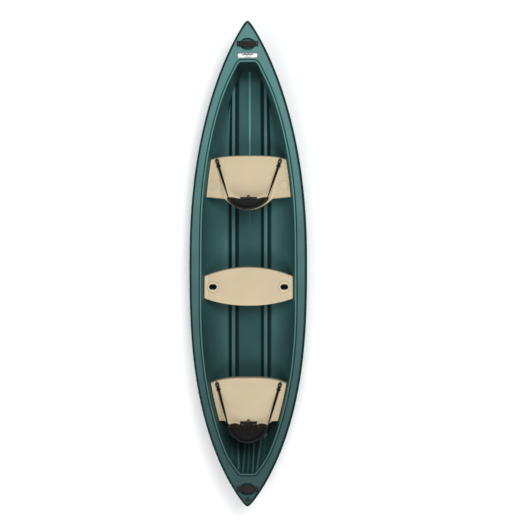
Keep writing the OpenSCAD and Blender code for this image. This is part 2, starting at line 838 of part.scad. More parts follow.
stern_handle_webbing();
stern_handle_grip();
stern_handle_caps();
stern_handle_screws();
drain_bushing();
drain_gasket();
drain_plug();
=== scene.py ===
import json
import math

import bmesh
import bpy
import numpy as np
from mathutils import Matrix, Vector
from mathutils.kdtree import KDTree


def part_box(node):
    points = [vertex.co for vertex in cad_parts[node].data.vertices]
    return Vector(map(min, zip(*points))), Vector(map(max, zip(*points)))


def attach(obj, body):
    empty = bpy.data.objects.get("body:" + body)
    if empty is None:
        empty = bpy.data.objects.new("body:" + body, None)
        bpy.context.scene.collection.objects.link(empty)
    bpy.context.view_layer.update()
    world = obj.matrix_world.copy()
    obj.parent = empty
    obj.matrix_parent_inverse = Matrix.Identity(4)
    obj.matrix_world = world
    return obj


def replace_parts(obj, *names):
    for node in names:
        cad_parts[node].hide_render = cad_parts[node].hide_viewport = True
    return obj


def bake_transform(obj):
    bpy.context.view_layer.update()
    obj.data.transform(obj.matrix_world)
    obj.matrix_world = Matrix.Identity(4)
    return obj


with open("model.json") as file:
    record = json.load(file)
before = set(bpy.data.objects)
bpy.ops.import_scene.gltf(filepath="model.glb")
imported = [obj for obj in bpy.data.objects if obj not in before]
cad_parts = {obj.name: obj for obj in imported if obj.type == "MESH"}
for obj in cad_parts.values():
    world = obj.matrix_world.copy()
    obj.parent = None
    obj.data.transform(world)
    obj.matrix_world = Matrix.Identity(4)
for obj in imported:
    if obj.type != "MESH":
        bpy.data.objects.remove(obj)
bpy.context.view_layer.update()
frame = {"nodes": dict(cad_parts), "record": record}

scene = bpy.context.scene
scene.view_settings.view_transform = "Standard"

# Everything is in metres: +Y is the bow, +X is to starboard, +Z is up.


def linked(name, data):
    """A new object in the scene."""
    obj = bpy.data.objects.new(name, data)
    scene.collection.objects.link(obj)
    return obj


# ---- Camera: straight down on the boat from a little to starboard ----

depth_mid = 0.371
camera_x = 0.33
camera_height = 7.5
frame_width = 4.295
sensor = 36.0
aim = Vector((0.099, 0.029, depth_mid))

camera_data = bpy.data.cameras.new("camera")
camera_data.sensor_width = sensor
camera_data.lens = sensor * camera_height / frame_width
camera = linked("camera", camera_data)
camera.location = (camera_x, aim.y, depth_mid + camera_height)
camera.rotation_euler = (0, math.atan2(camera_x - aim.x, camera_height), 0)
scene.camera = camera

# ---- Curves of the hull, the same as the CAD part's ----

hull_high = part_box("hull_shell")[1]
half_l = hull_high.y
half_b = hull_high.x
sheer_rise = 0.125
sheer_power = 2.75
lip_drop = 0.046
lip_tuck = 0.014
stem_run = 0.1
floor_z = 0.026
rocker_rise = 0.06
rocker_power = 2.5
bow_fullness = (2.22, 0.82)
stern_fullness = (2.67, 0.81)
rim_w = 0.09
rim_bulge = 0.013
rim_bulge_reach = 0.52
rim_taper = 0.0025
cockpit_bow = 1.651
cockpit_stern = -1.718
stern_wall_run = 0.185
floor_half_w = 0.18
skin_gap = 0.082
bilge = 1.9
rib_offset = 0.139
rib_height = 0.038
rib_narrowing = 0.010
bow_end = (0.071, 0.528, 0.038)
stern_end = (0.060, 0.8, 0.014)
tip_radius = 0.014
tip_reach = 0.04


def along(y):
    return np.minimum(np.abs(y) / half_l, 1)


def mix(a, b, t):
    return a + (b - a) * t


def smooth(t):
    t = np.clip(t, 0, 1)
    return t * t * (3 - 2 * t)


def band(distance, half_width):
    """1 on a line and 0 beyond its half width."""
    return smooth(1 - np.abs(distance) / half_width)


def grows(value, start, run):
    """0 up to the start, and from there smoothly up to 1 over the run."""
    return smooth((value - start) / run)


def fades(value, stop, run):
    """1 at first, and smoothly down to 0 over the run before the stop."""
    return smooth((stop - value) / run)


def soft_min(a, b):
    return (a**-6.0 + b**-6.0) ** (-1 / 6)


def inset(half, d):
    return half * half / (half + d + 1e-5)


def bend(t):
    return (1 - (1 - np.minimum(t, 1)) ** bilge) ** (1 / bilge)


def sheer(y):
    return depth_mid + sheer_rise * along(y) ** sheer_power


def rocker(y):
    return rocker_rise * (np.maximum(0, along(y) - 0.5) * 2) ** rocker_power


def outline(y):
    s = along(y)
    bow, stern = [(1 - s**power) ** root for power, root in (bow_fullness, stern_fullness)]
    half = half_b * np.where(np.asarray(y) > 0, bow, stern)
    from_tip = half_l * (1 - s)
    return np.sqrt(half**2 + 2 * tip_radius * from_tip * np.exp(-from_tip / tip_reach))


def rim_width(y):
    return rim_w + rim_bulge * np.exp(-((y / rim_bulge_reach) ** 2)) + rim_taper * y / half_l


def end_line(shape, d):
    """Half width of the cockpit at a distance from one end: round at first and then straight."""
    flat, slope, r = shape
    size = math.hypot(1, slope)
    arc = flat - r * (size - slope) + np.sqrt(r * r - (r - np.clip(d, 0, r)) ** 2)
    return np.where(d < r * (1 - slope / size), arc, flat + slope * d)


def tub_half(y):
    slope = (outline(y + 0.004) - outline(y - 0.004)) / 0.008
    side = outline(y) - rim_width(y) * np.sqrt(1 + slope**2)
    ends = end_line(bow_end, cockpit_bow - y) ** -16.0 + end_line(stern_end, y - cockpit_stern) ** -16.0
    return (side**-16.0 + ends) ** (-1 / 16)


def rib_centre(y):
    """How far the floor ribs run from the centre line, a little less towards the ends."""
    return rib_offset - rib_narrowing * along(y) ** 4


def from_rib(x, y):
    return np.abs(np.abs(x) - rib_centre(y))


def tub_floor_half(y):
    return soft_min(floor_half_w, 0.85 * tub_half(y))


def tub_floor(y):
    return rocker(y) + floor_z


def wall_half(y, z):
    t = (z - tub_floor(y)) / (sheer(y) - tub_floor(y))
    return mix(tub_floor_half(y), tub_half(y), bend(t))


def skin_half(y):
    return inset(outline(y), skin_gap)


def skin_floor_half(y):
    return soft_min(floor_half_w + 0.024, 0.85 * np.maximum(skin_half(y), 1e-5))


def deck_frame(y):
    """Turns a frame that lies on the deck at y into the row frame."""
    tilt = math.atan2(sheer(y + 0.002) - sheer(y - 0.002), 0.004)
    return Matrix.Translation((0, y, float(sheer(y)))) @ Matrix.Rotation(tilt, 4, "X")


# ---- Mesh tools ----


def new_object(name, verts, faces, sharp=35):
    mesh = bpy.data.meshes.new(name)
    mesh.from_pydata([tuple(v) for v in verts], [], [tuple(f) for f in faces])
    return finish_mesh(name, mesh, sharp)


def finish_mesh(name, mesh, sharp):
    """Outward normals, smooth shading with sharp edges above an angle, and an object."""
    bm = bmesh.new()
    bm.from_mesh(mesh)
    bmesh.ops.recalc_face_normals(bm, faces=bm.faces)
    bm.to_mesh(mesh)
    bm.free()
    mesh.shade_smooth()
    mesh.set_sharp_from_angle(angle=math.radians(sharp))
    return linked(name, mesh)


def baked(obj):
    """Applies an object's modifiers to its mesh."""
    graph = bpy.context.evaluated_depsgraph_get()
    mesh = bpy.data.meshes.new_from_object(obj.evaluated_get(graph))
    obj.modifiers.clear()
    obj.data = mesh
    return obj


def joined(name, objects, sharp=35):
    """One object that holds the meshes of several."""
    bm = bmesh.new()
    for o in objects:
        o.data.transform(o.matrix_world)
        bm.from_mesh(o.data)
        bpy.data.objects.remove(o)
    mesh = bpy.data.meshes.new(name)
    bm.to_mesh(mesh)
    bm.free()
    return finish_mesh(name, mesh, sharp)


def moved(obj, matrix):
    obj.data.transform(matrix)
    return obj


def bevelled(obj, width, segments):
    bevel = obj.modifiers.new("bevel", "BEVEL")
    bevel.width = width
    bevel.segments = segments
    bevel.limit_method = "ANGLE"
    bevel.angle_limit = math.radians(40)
    bevel.harden_normals = True
    return obj


def ring(half, y, z, columns):
    """A closed loop: starboard from stern to bow, across, port back, and across."""
    across = (1 - 2 * np.arange(1, columns) / columns)[:, None]
    bow_row = np.hstack([across * half[-1], 0 * across + y[-1], 0 * across + z[-1]])
    stern_row = np.hstack([-across * half[0], 0 * across + y[0], 0 * across + z[0]])
    starboard = np.column_stack([half, y, z])
    port = (starboard * [-1, 1, 1])[::-1]
    return np.vstack([starboard, bow_row, port, stern_row])


def strips(rows, size, first=0, closed=False):
    """Quads between rows that follow each other, each a closed loop with size points."""
    here = np.arange(size)
    following = (here + 1) % size
    faces = []
    for row in range(rows if closed else rows - 1):
        a, b = first + row * size, first + (row + 1) % rows * size
        faces += np.column_stack([a + here, a + following, b + following, b + here]).tolist()
    return faces


def grid(index):
    """Quads between the points of a grid, given by their numbers."""
    quads = [index[:-1, :-1], index[1:, :-1], index[1:, 1:], index[:-1, 1:]]
    return np.column_stack([q.ravel() for q in quads]).tolist()


def loft(name, rings, columns, first_cap, last_cap):
    """Skin through rings of the same length, closed by a grid of rows at each end.
    A cap is a function that takes x and y and the plain height, and gives the height."""
    count = len(rings[0])
    rows = (count - 2 * columns) // 2
    verts = [np.vstack(rings)]
    faces = strips(len(rings), count)
    placed = len(rings) * count
    between = np.arange(1, columns)
    for start, points, cap in ((0, rings[0], first_cap), (len(rings) - 1, rings[-1], last_cap)):
        index = np.zeros((rows + 1, columns + 1), int)
        line = np.arange(rows + 1)
        index[:, 0] = line
        index[:, columns] = 2 * rows + columns - line
        index[rows, 1:columns] = rows + between
        index[0, 1:columns] = 2 * rows + 2 * columns - between
        index += start * count
        starboard = points[1:rows]
        share = (1 - 2 * between / columns)[None, :]
        x = starboard[:, :1] * share
        y = starboard[:, 1:2] + 0 * share
        z = cap(x, y, starboard[:, 2:3] + 0 * share)
        index[1:rows, 1:columns] = placed + np.arange(x.size).reshape(x.shape)
        placed += x.size
        verts.append(np.column_stack([x.ravel(), y.ravel(), z.ravel()]))
        faces += grid(index)
    return new_object(name, np.vstack(verts), faces)


def swept(name, sections, closed=False, sharp=35):
    """A skin through cross-sections that all have the same number of points."""
    sections = np.asarray(sections, float)
    count, size = sections.shape[:2]
    faces = strips(count, size, closed=closed)
    if not closed:
        here = np.arange(size)
        faces += [here[::-1].tolist(), (here + (count - 1) * size).tolist()]
    return new_object(name, sections.reshape(-1, 3), faces, sharp)


def circle(segments):
    """Even angles round a full turn."""
    return 2 * np.pi * np.arange(segments) / segments


def hoop(radius, z, segments):
    """A level circle of points. The radius is one number, or one for each point."""
    turn = circle(segments)
    return np.column_stack([radius * np.cos(turn), radius * np.sin(turn), 0 * turn + z])


def cylinder(name, radius, low, high, matrix, segments=64):
    return moved(swept(name, [hoop(radius, z, segments) for z in (low, high)]), matrix)


def spindle(name, first, rings, last):
    """A skin through closed rings that ends in a point on each side."""
    size = len(rings[0])
    around = [(k, (k + 1) % size) for k in range(size)]
    end = 1 + len(rings) * size
    faces = [(0, 1 + b, 1 + a) for a, b in around] + strips(len(rings), size, 1)
    faces += [(end - size + a, end - size + b, end) for a, b in around]
    return new_object(name, np.vstack([[first], *rings, [last]]), faces)


def turned(name, profile, segments, wobble):
    """A profile of (radius, height) turned round Z. Its first and last points lie on the axis."""
    turn = circle(segments)
    rings = [hoop(r * wobble(turn, r), z, segments) for r, z in profile[1:-1]]
    return spindle(name, (0, 0, profile[0][1]), rings, (0, 0, profile[-1][1]))


def layered(name, outline, rows):
    """A slab inside an outline. Each row is (share of the outline's size, inset, height)."""
    centre = (outline.min(0) + outline.max(0)) / 2
    spoke = outline - centre
    size = np.linalg.norm(spoke, axis=1)[:, None]
    rings = []
    for share, inward, height in rows:
        plan = centre + spoke * share * (1 - inward / size)
        rings.append(np.column_stack([plan, np.full(len(outline), height)]))
    return spindle(name, (*centre, rows[0][2]), rings, (*centre, rows[-1][2]))


def plain_rows(low, high):
    """Rows for a slab with square edges."""
    return [(0.5, 0, low), (1, 0, low), (1, 0, high), (0.5, 0, high)]


def rounded_rows(low, high, radius):
    """Rows for a slab between two heights whose edges are rounded."""
    shares = (0.12, 0.25, 0.38, 0.5, 0.62, 0.74, 0.86)
    turn = [math.pi / 2 * i / 4 for i in range(5)]
    rows = [(share, radius, low) for share in shares]
    rows += [(1, radius * (1 - math.sin(a)), low + radius * (1 - math.cos(a))) for a in turn]
    rows += [(1, radius * (1 - math.cos(a)), high - radius * (1 - math.sin(a))) for a in turn]
    return rows + [(share, radius, high) for share in reversed(shares)]


def rectangle(half_x, half_y):
    corners = ((-1, -1), (1, -1), (1, 1), (-1, 1))
    return np.array([(x * half_x, y * half_y) for x, y in corners])


def travelled(line):
    """How far along a line each of its points lies."""
    return np.concatenate([[0], np.cumsum(np.linalg.norm(np.diff(line, axis=0), axis=1))])


def points_at(line, at):
    return np.column_stack([np.interp(at, travelled(line), column) for column in line.T])


def smoothed(points, spacing, passes):
    """Resamples a closed outline evenly and rounds its corners."""
    loop = np.vstack([points, points[:1]])
    length = travelled(loop)[-1]
    even = points_at(loop, np.linspace(0, length, int(length / spacing), endpoint=False))
    for _ in range(passes):
        even = (np.roll(even, 1, 0) + 2 * even + np.roll(even, -1, 0)) / 4
    return even


def tube(name, path, radius):
    """A round cord along a closed path that lies nearly flat."""
    tangent = np.roll(path, -1, 0) - np.roll(path, 1, 0)
    side = np.cross(tangent, (0, 0, 1))
    side /= np.linalg.norm(side, axis=1)[:, None]
    turn = circle(8)
    across, up = np.cos(turn)[None, :, None], np.sin(turn)[None, :, None]
    rim = across * side[:, None, :] + up * np.array((0, 0, 1))
    return swept(name, path[:, None, :] + radius * rim, closed=True, sharp=80)


def coordinates(obj):
    """An object's vertices as rows of x, y and z."""
    flat = np.empty(len(obj.data.vertices) * 3)
    obj.data.vertices.foreach_get("co", flat)
    return flat.reshape(-1, 3)


def reshaped(obj, change):
    """Moves an object's vertices by a function of their positions."""
    places = np.asarray(change(coordinates(obj)), float)
    obj.data.vertices.foreach_set("co", places.ravel())
    obj.data.update()
    return obj


def mark(obj, painted_shade, painted_highlight):
    """Writes the two attributes that plastic materials read, from 0 to 1 at each vertex: painted shade and
    painted highlights.
    """
    for name, values in (("painted_shade", painted_shade), ("painted_highlight", painted_highlight)):
        attribute = obj.data.attributes.new(name, "FLOAT", "POINT")
        attribute.data.foreach_set("value", np.clip(values, 0, 1))
    return obj


def cut(obj, cutters):
    """Takes the cutters' solids out of an object."""
    tool = joined("cutter", cutters)
    boolean = obj.modifiers.new("cut", "BOOLEAN")
    boolean.object = tool
    boolean.operation = "DIFFERENCE"
    boolean.solver = "EXACT"
    baked(obj)
    bpy.data.objects.remove(tool)
    obj.data.set_sharp_from_angle(angle=math.radians(35))
    return obj


def place(obj, body, slot, *nodes):
    """Paints a piece that has no material yet, puts it on a body and hides the CAD nodes it stands for."""
    if not obj.data.materials:
        paint(obj, slot)
    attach(obj, body)
    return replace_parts(obj, *nodes)


# ---- Materials ----

wave_length = 0.314  # of one band in a wave texture with scale 1


def node_tree(name):
    material = bpy.data.materials.new(name)
    material.use_nodes = True
    tree = material.node_tree
    return material, tree, tree.nodes["Principled BSDF"]


def feed(tree, node, inputs):
    """Links each input of a node to a socket, or sets it to a value."""
    for name, value in inputs.items():
        if hasattr(value, "links"):
            tree.links.new(value, node.inputs[name])
        else:
            node.inputs[name].default_value = value


def add_node(tree, kind, inputs=None, **settings):
    node = tree.nodes.new("ShaderNode" + kind)
    for name, value in settings.items():
        setattr(node, name, value)
    feed(tree, node, inputs or {})
    return node


def noise(tree, scale, detail, stretch=(1, 1, 1)):
    """A noise pattern in the object's own metres; scale is in cells per metre."""
    coords = add_node(tree, "TexCoord").outputs["Object"]
    mapped = add_node(tree, "Mapping", {"Vector": coords, "Scale": stretch}).outputs["Vector"]
    return add_node(tree, "TexNoise", {"Vector": mapped, "Scale": scale, "Detail": detail}).outputs["Fac"]


def ramp(tree, source, low, high, start=0.3, end=0.7):
    """Turns a 0 to 1 pattern into a colour or a value between two ends."""
    node = add_node(tree, "ValToRGB", {"Fac": source})
    for element, position, value in zip(node.color_ramp.elements, (start, end), (low, high)):
        element.position = position
        element.color = (*value, 1) if isinstance(value, tuple) else (value, value, value, 1)
    return node.outputs["Color"]


def blend_colours(tree, share, a, b, how="MIX"):
    """Blends two colours, each of them a socket or three numbers."""
    a, b = [(*colour, 1) if isinstance(colour, tuple) else colour for colour in (a, b)]
    node = add_node(tree, "Mix", data_type="RGBA", blend_type=how)
    feed(tree, node, {"Factor": share, "A": a, "B": b})
    return node.outputs["Result"]


def bump(tree, shader, layers):
    """Layers of (pattern, depth in metres), stacked into the shader's normal."""
    below = {}
    for height, depth in layers:
        node = add_node(tree, "Bump", {"Height": height, "Distance": depth, **below})
        below = {"Normal": node.outputs["Normal"]}
    feed(tree, shader, below)


def shade(colour, factor):
    return tuple(min(1.0, c * factor) for c in colour)


def plastic(name, colour, roughness, variation, grain=900.0, grain_depth=0.00012, waviness=0.0004,
            specular=0.5, fade=0.0, highlight_factor=2.2, shade_colour=None):
    """Moulded plastic: fine grain, slow waviness, cloudy colour and paler worn edges, with painted shade in
    its hollows.
    A mesh may mark painted shade and painted highlights by the two attributes that mark() writes. Fade is a
    painted
    light gradient: how much paler the colour gets from stern to bow. The last two arguments give how pale the
    painted highlights are and the colour of the painted shade."""
    material, tree, shader = node_tree(name)
    cloud = ramp(tree, noise(tree, 5.0, 4.0), shade(colour, 1 - variation), shade(colour, 1 + variation))
    # Painted light: the colour grows paler from stern to bow.
    if fade:
        coords = add_node(tree, "TexCoord").outputs["Object"]
        y = add_node(tree, "SeparateXYZ", {"Vector": coords}).outputs["Y"]
        share = add_node(tree, "MapRange", {"Value": y, "From Min": -2.0, "From Max": 1.2})
        tint = blend_colours(tree, share.outputs["Result"], shade((1, 1, 1), 1 - fade), (1.0, 1.0, 1.0))
        cloud = blend_colours(tree, 1.0, cloud, tint, "MULTIPLY")
    specks = ramp(tree, noise(tree, 260.0, 2.0), 0.0, 0.35, 0.55, 0.75)
    speckled = blend_colours(tree, specks, cloud, shade(colour, 1.25))
    worn = ramp(tree, add_node(tree, "NewGeometry").outputs["Pointiness"], 0.0, 0.5, 0.53, 0.62)
    edge = blend_colours(tree, worn, speckled, shade(colour, 1.5))
    # Painted shade and painted highlights, read from the mesh's two marks; the painted shade is also rougher.
    painted_shade, painted_highlight = [add_node(tree, "Attribute", attribute_name=mark_name).outputs["Fac"]
                     for mark_name in ("painted_shade", "painted_highlight")]
    dark = blend_colours(tree, painted_shade, edge, shade_colour or shade(colour, 0.08))
    pale = blend_colours(tree, painted_highlight, dark, shade(colour, highlight_factor))
    rough = ramp(tree, noise(tree, 40.0, 4.0), roughness - 0.06, roughness + 0.08)
    dull = blend_colours(tree, ramp(tree, painted_shade, 0.0, 1.0, 0.0, 0.4), rough, (0.9, 0.9, 0.9))
    feed(tree, shader, {"Base Color": pale, "Specular IOR Level": specular, "Roughness": dull})
    bump(tree, shader, [(noise(tree, 7.0, 1.0), waviness), (noise(tree, grain, 2.0), grain_depth)])
    return material


def metal(name, colour, roughness):
    """Plated or plain metal with fine drawn lines and dull spots."""
    material, tree, shader = node_tree(name)
    lines = noise(tree, 220.0, 3.0, (1, 1, 14))
    feed(tree, shader, {
        "Metallic": 1.0,
        "Base Color": ramp(tree, lines, shade(colour, 0.82), shade(colour, 1.1)),
        "Roughness": ramp(tree, noise(tree, 90.0, 4.0), roughness - 0.07, roughness + 0.15),
    })
    bump(tree, shader, [(lines, 0.00004)])
    return material


def waves(tree, vector, scale, direction):
    inputs = {"Vector": vector, "Scale": scale, "Distortion": 0.15}
    return add_node(tree, "TexWave", inputs, bands_direction=direction).outputs["Fac"]


def woven(name, colour, thread, sheen, lengthwise=None):
    """Woven cloth or webbing. With lengthwise, threads follow the piece's own strip map."""
    material, tree, shader = node_tree(name)
    if lengthwise:
        vector = add_node(tree, "UVMap", uv_map=lengthwise).outputs["UV"]
    else:
        vector = add_node(tree, "TexCoord").outputs["Object"]
    scale = wave_length / thread
    warp = waves(tree, vector, scale, "X")
    weft = waves(tree, vector, scale, "Y" if lengthwise else "Z")
    weave = add_node(tree, "Math", {0: warp, 1: weft}, operation="MULTIPLY").outputs["Value"]
    threads = ramp(tree, weave, shade(colour, 0.55), shade(colour, 1.45), 0.1, 0.8)
    dust = ramp(tree, noise(tree, 30.0, 5.0), 0.0, 0.3)
    feed(tree, shader, {
        "Base Color": blend_colours(tree, dust, threads, shade(colour, 1.9)),
        "Roughness": ramp(tree, noise(tree, 60.0, 3.0), 0.72, 0.92),
        "Sheen Weight": sheen,
        "Specular IOR Level": 0.15,
        "Sheen Roughness": 0.45,
    })
    bump(tree, shader, [(weave, thread * 0.25), (noise(tree, 45.0, 3.0), 0.0006)])
    return material


PLASTICS = {
    # The hull's fade is a painted light gradient, and its shade colour is the colour of its painted shade.
    "hull_green": dict(colour=(0.049, 0.139, 0.132), roughness=0.46, variation=0.10, specular=0.22, fade=0.62,
                       shade_colour=(0.0003, 0.014, 0.0145)),
    "seat_tan": dict(colour=(0.478, 0.394, 0.255), roughness=0.55, variation=0.04, specular=0.3,
                     highlight_factor=1.35),
    "black_plastic": dict(colour=(0.005, 0.005, 0.006), roughness=0.46, variation=0.2, specular=0.22,
                          grain=700.0, grain_depth=0.0001, waviness=0.0002),
    "grip_rubber": dict(colour=(0.013, 0.008, 0.006), roughness=0.62, variation=0.25, specular=0.2,
                        grain=420.0, grain_depth=0.0003, waviness=0.0002),
    "foam": dict(colour=(0.82, 0.82, 0.78), roughness=0.85, variation=0.05,
                 grain=350.0, grain_depth=0.0005, waviness=0.0003),
    "plate_white": dict(colour=(0.80, 0.80, 0.79), roughness=0.28, variation=0.03,
                        grain=1200.0, grain_depth=0.00003, waviness=0.0001),
}
WOVENS = {
    "pad_cloth": dict(colour=(0.0075, 0.0068, 0.0078), thread=0.0011, sheen=0.02),
    "webbing": dict(colour=(0.004, 0.004, 0.0045), thread=0.0016, sheen=0.05, lengthwise="strip"),
}
METALS = {
    "steel": dict(colour=(0.66, 0.67, 0.69), roughness=0.30),
    "brass": dict(colour=(0.24, 0.18, 0.09), roughness=0.42),
    "blackened": dict(colour=(0.05, 0.05, 0.055), roughness=0.38),
    "old_brass": dict(colour=(0.09, 0.055, 0.025), roughness=0.5),
}
MATERIALS = {name: make(name, **look)
             for make, looks in ((plastic, PLASTICS), (woven, WOVENS), (metal, METALS))
             for name, look in looks.items()}


def paint(obj, slot):
    obj.data.materials.clear()
    obj.data.materials.append(MATERIALS[slot])
    return obj


# ---- Hull ----

stations = 180
floor_columns = 120
station = -np.cos(np.pi * np.arange(stations + 1) / stations)
blunt = 0.0015
recess_r = 0.049
recess_stretch = 124 / 98
recess_depth = 0.030
recess_sides = 96
bead_w = 0.013
groove_w = 0.022
drain_hole_r = 0.0173
washer_hole_r = 0.0125
bolt_z = 0.240
bolt_rows = (0.620, 0.800, -0.255, -0.140, -1.250, -1.070)
flute_start = -1.40
flute_run = 0.318
flute_half_w = 0.012
flute_height = 0.011


def middle_y(node):
    low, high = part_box(node)
    return low.y / 2 + high.y / 2


bow_handle_y = middle_y("bow_handle_grip")
stern_handle_y = middle_y("stern_handle_grip")
drain_y = middle_y("drain_bushing")
plate_y = middle_y("name_plate")


def skin_ring(t):
    y = station * (half_l - stem_run * (1 - t) ** 1.8 - lip_tuck)
    half = mix(skin_floor_half(station * half_l), skin_half(station * half_l), bend(t))
    z = mix(rocker(y), sheer(y) - lip_drop, t)
    return ring(np.maximum(half, blunt), y, z, floor_columns)


def lip_ring(d, drop):
    y = station * (half_l - 0.7 * d)
    half = np.maximum(inset(outline(station * half_l), d), blunt)
    return ring(half, y, sheer(y) - drop, floor_columns)


def tub_ring(t):
    middle, reach = (cockpit_bow + cockpit_stern) / 2, (cockpit_bow - cockpit_stern) / 2
    y = middle + station * reach
    near_stern = np.maximum(0, 1 - (y - cockpit_stern) / 0.6)
    y2 = y + stern_wall_run * (1 - t) ** 1.2 * near_stern**2
    half = mix(tub_floor_half(y), tub_half(y), bend(t))
    return ring(half, y2, mix(tub_floor(y2), sheer(y2), t), floor_columns)


def outward(points):
    """Unit normals of a closed loop in plan, pointing away from its middle."""
    tangent = np.roll(points, -1, 0) - np.roll(points, 1, 0)
    normal = np.column_stack([tangent[:, 1], -tangent[:, 0]])
    normal /= np.maximum(np.linalg.norm(normal, axis=1), 1e-9)[:, None]
    for _ in range(2):
        normal = normal + np.roll(normal, 1, 0) + np.roll(normal, -1, 0)
        normal /= np.linalg.norm(normal, axis=1)[:, None]
    return normal


def rim_ring(edge, normal, w, rise):
    plan = edge[:, :2] + normal * w
    return np.column_stack([plan, sheer(plan[:, 1]) + rise])


def rib_top(x, y, base, crest, low, high, start, end, run):
    """Height of a pair of bars along the boat, wide at the base and lower towards both ends."""
    share = np.clip((base - from_rib(x, y)) / (base - crest), 0, 1)
    rounded = 0.5 * share + 0.5 * smooth(share)
    fade = grows(y, start, run) * fades(y, end, run)
    return rocker(y) + low + (high - low) * rounded * fade


def flutes(x, y, z):
    """Ridges that fan out towards the stern wall's rim, from 0 between them to 1 on their tops."""
    share = np.clip((flute_start - y) / flute_run, 0, 1)
    window = fades(y, flute_start + 0.02, 0.1) * fades(z, sheer(y) - 0.010, 0.03)
    ridges = [strength * band(np.abs(x) - mix(near, far, share), flute_half_w)
              for near, far, strength in ((0, 0, 0.5), (0.036, 0.041, 0.85), (0.112, 0.070, 1))]
    return np.maximum.reduce(ridges) * window


def keel_strip(x):
    """1 on the keel strip that runs along the floor's middle, and 0 beside it."""
    return fades(np.abs(x), 0.0085, 0.003)


def dressed(points):
    """Adds the ribs, the keel line and the stern flutes to points of the cockpit's surface."""
    x, y, z = points[..., 0], points[..., 1], points[..., 2]
    rib = rib_top(x, y, base=0.0395, crest=0.013, low=floor_z - 0.008, high=floor_z + rib_height,
                  start=-1.640, end=1.602, run=0.03)
    beside = from_rib(x, y)
    flat = z - tub_floor(y) < 0.012
    vee = mix(0.0045, 0.013, grows(y, 0.6, 0.6))
    shallow = vee * np.clip(1 - np.abs(x) / 0.12, 0, 1) + 0.004 * fades(beside, 0.052, 0.012)
    keel = keel_strip(x) * mix(0.0008, 0.006, grows(y, 0.2, 0.6))
    z = np.where(flat, z - shallow + keel, z)
    flute = flute_height * flutes(x, y, z)
    on_wall = (y > 1.55) & (z > tub_floor(y) + 0.002) & (z < sheer(y) - 0.1)
    keel_wall = np.where(on_wall, keel_strip(x) * 0.003, 0)
    return np.stack([x, y + 0.6 * flute - keel_wall, np.maximum(z + 0.8 * flute, rib)], -1)


def floor_height(x, y, z):
    return dressed(np.stack([x, y, tub_floor(y) + 0 * z], -1))[..., 2]


def keel_height(x, y, z):
    channel = rib_top(x, y, base=0.034, crest=0.009, low=-0.010, high=0.056,
                      start=-1.39, end=1.35, run=0.2)
    return np.maximum(z, channel)


def recess_cup(y):
    """Lining of a finger recess, with a rounded lip where it meets the deck."""
    profile = [(0.056, -0.0006), (0.0545, 0.0001), (0.053, 0.0003), (0.0515, 0.0001), (0.0502, -0.0009),
               (0.0494, -0.0030), (0.0490, -0.0070), (0.0480, -0.0240), (0.0465, -0.0275),
               (0.0430, -0.0296), (0.0360, -recess_depth)]
    normal = (deck_frame(y).to_3x3() @ Vector((0, 0, 1))).normalized()
    verts = []
    for r, rise in profile:
        for a in circle(recess_sides):
            px, py = recess_stretch * r * math.cos(a), y + r * math.sin(a)
            verts.append(Vector((px, py, float(sheer(py)))) + normal * rise)
    verts.append(Vector((0, y, float(sheer(y)))) - normal * recess_depth)
    last = (len(profile) - 1) * recess_sides
    bottom = [(last + k, last + (k + 1) % recess_sides, len(verts) - 1) for k in range(recess_sides)]
    return new_object("recess", verts, strips(len(profile), recess_sides) + bottom)


def wall_frame(side, y, z):
    """A frame on the cockpit wall at a seat bolt, with +Z pointing outboard."""
    x = float(wall_half(y, z))
    lean_y = float(wall_half(y + 0.003, z) - wall_half(y - 0.003, z)) / 0.006
    lean_z = float(wall_half(y, z + 0.003) - wall_half(y, z - 0.003)) / 0.006
    normal = Vector((side, -lean_y, -lean_z)).normalized()
    return Matrix.Translation((side * x, y, z)) @ normal.to_track_quat("Z", "X").to_matrix().to_4x4()


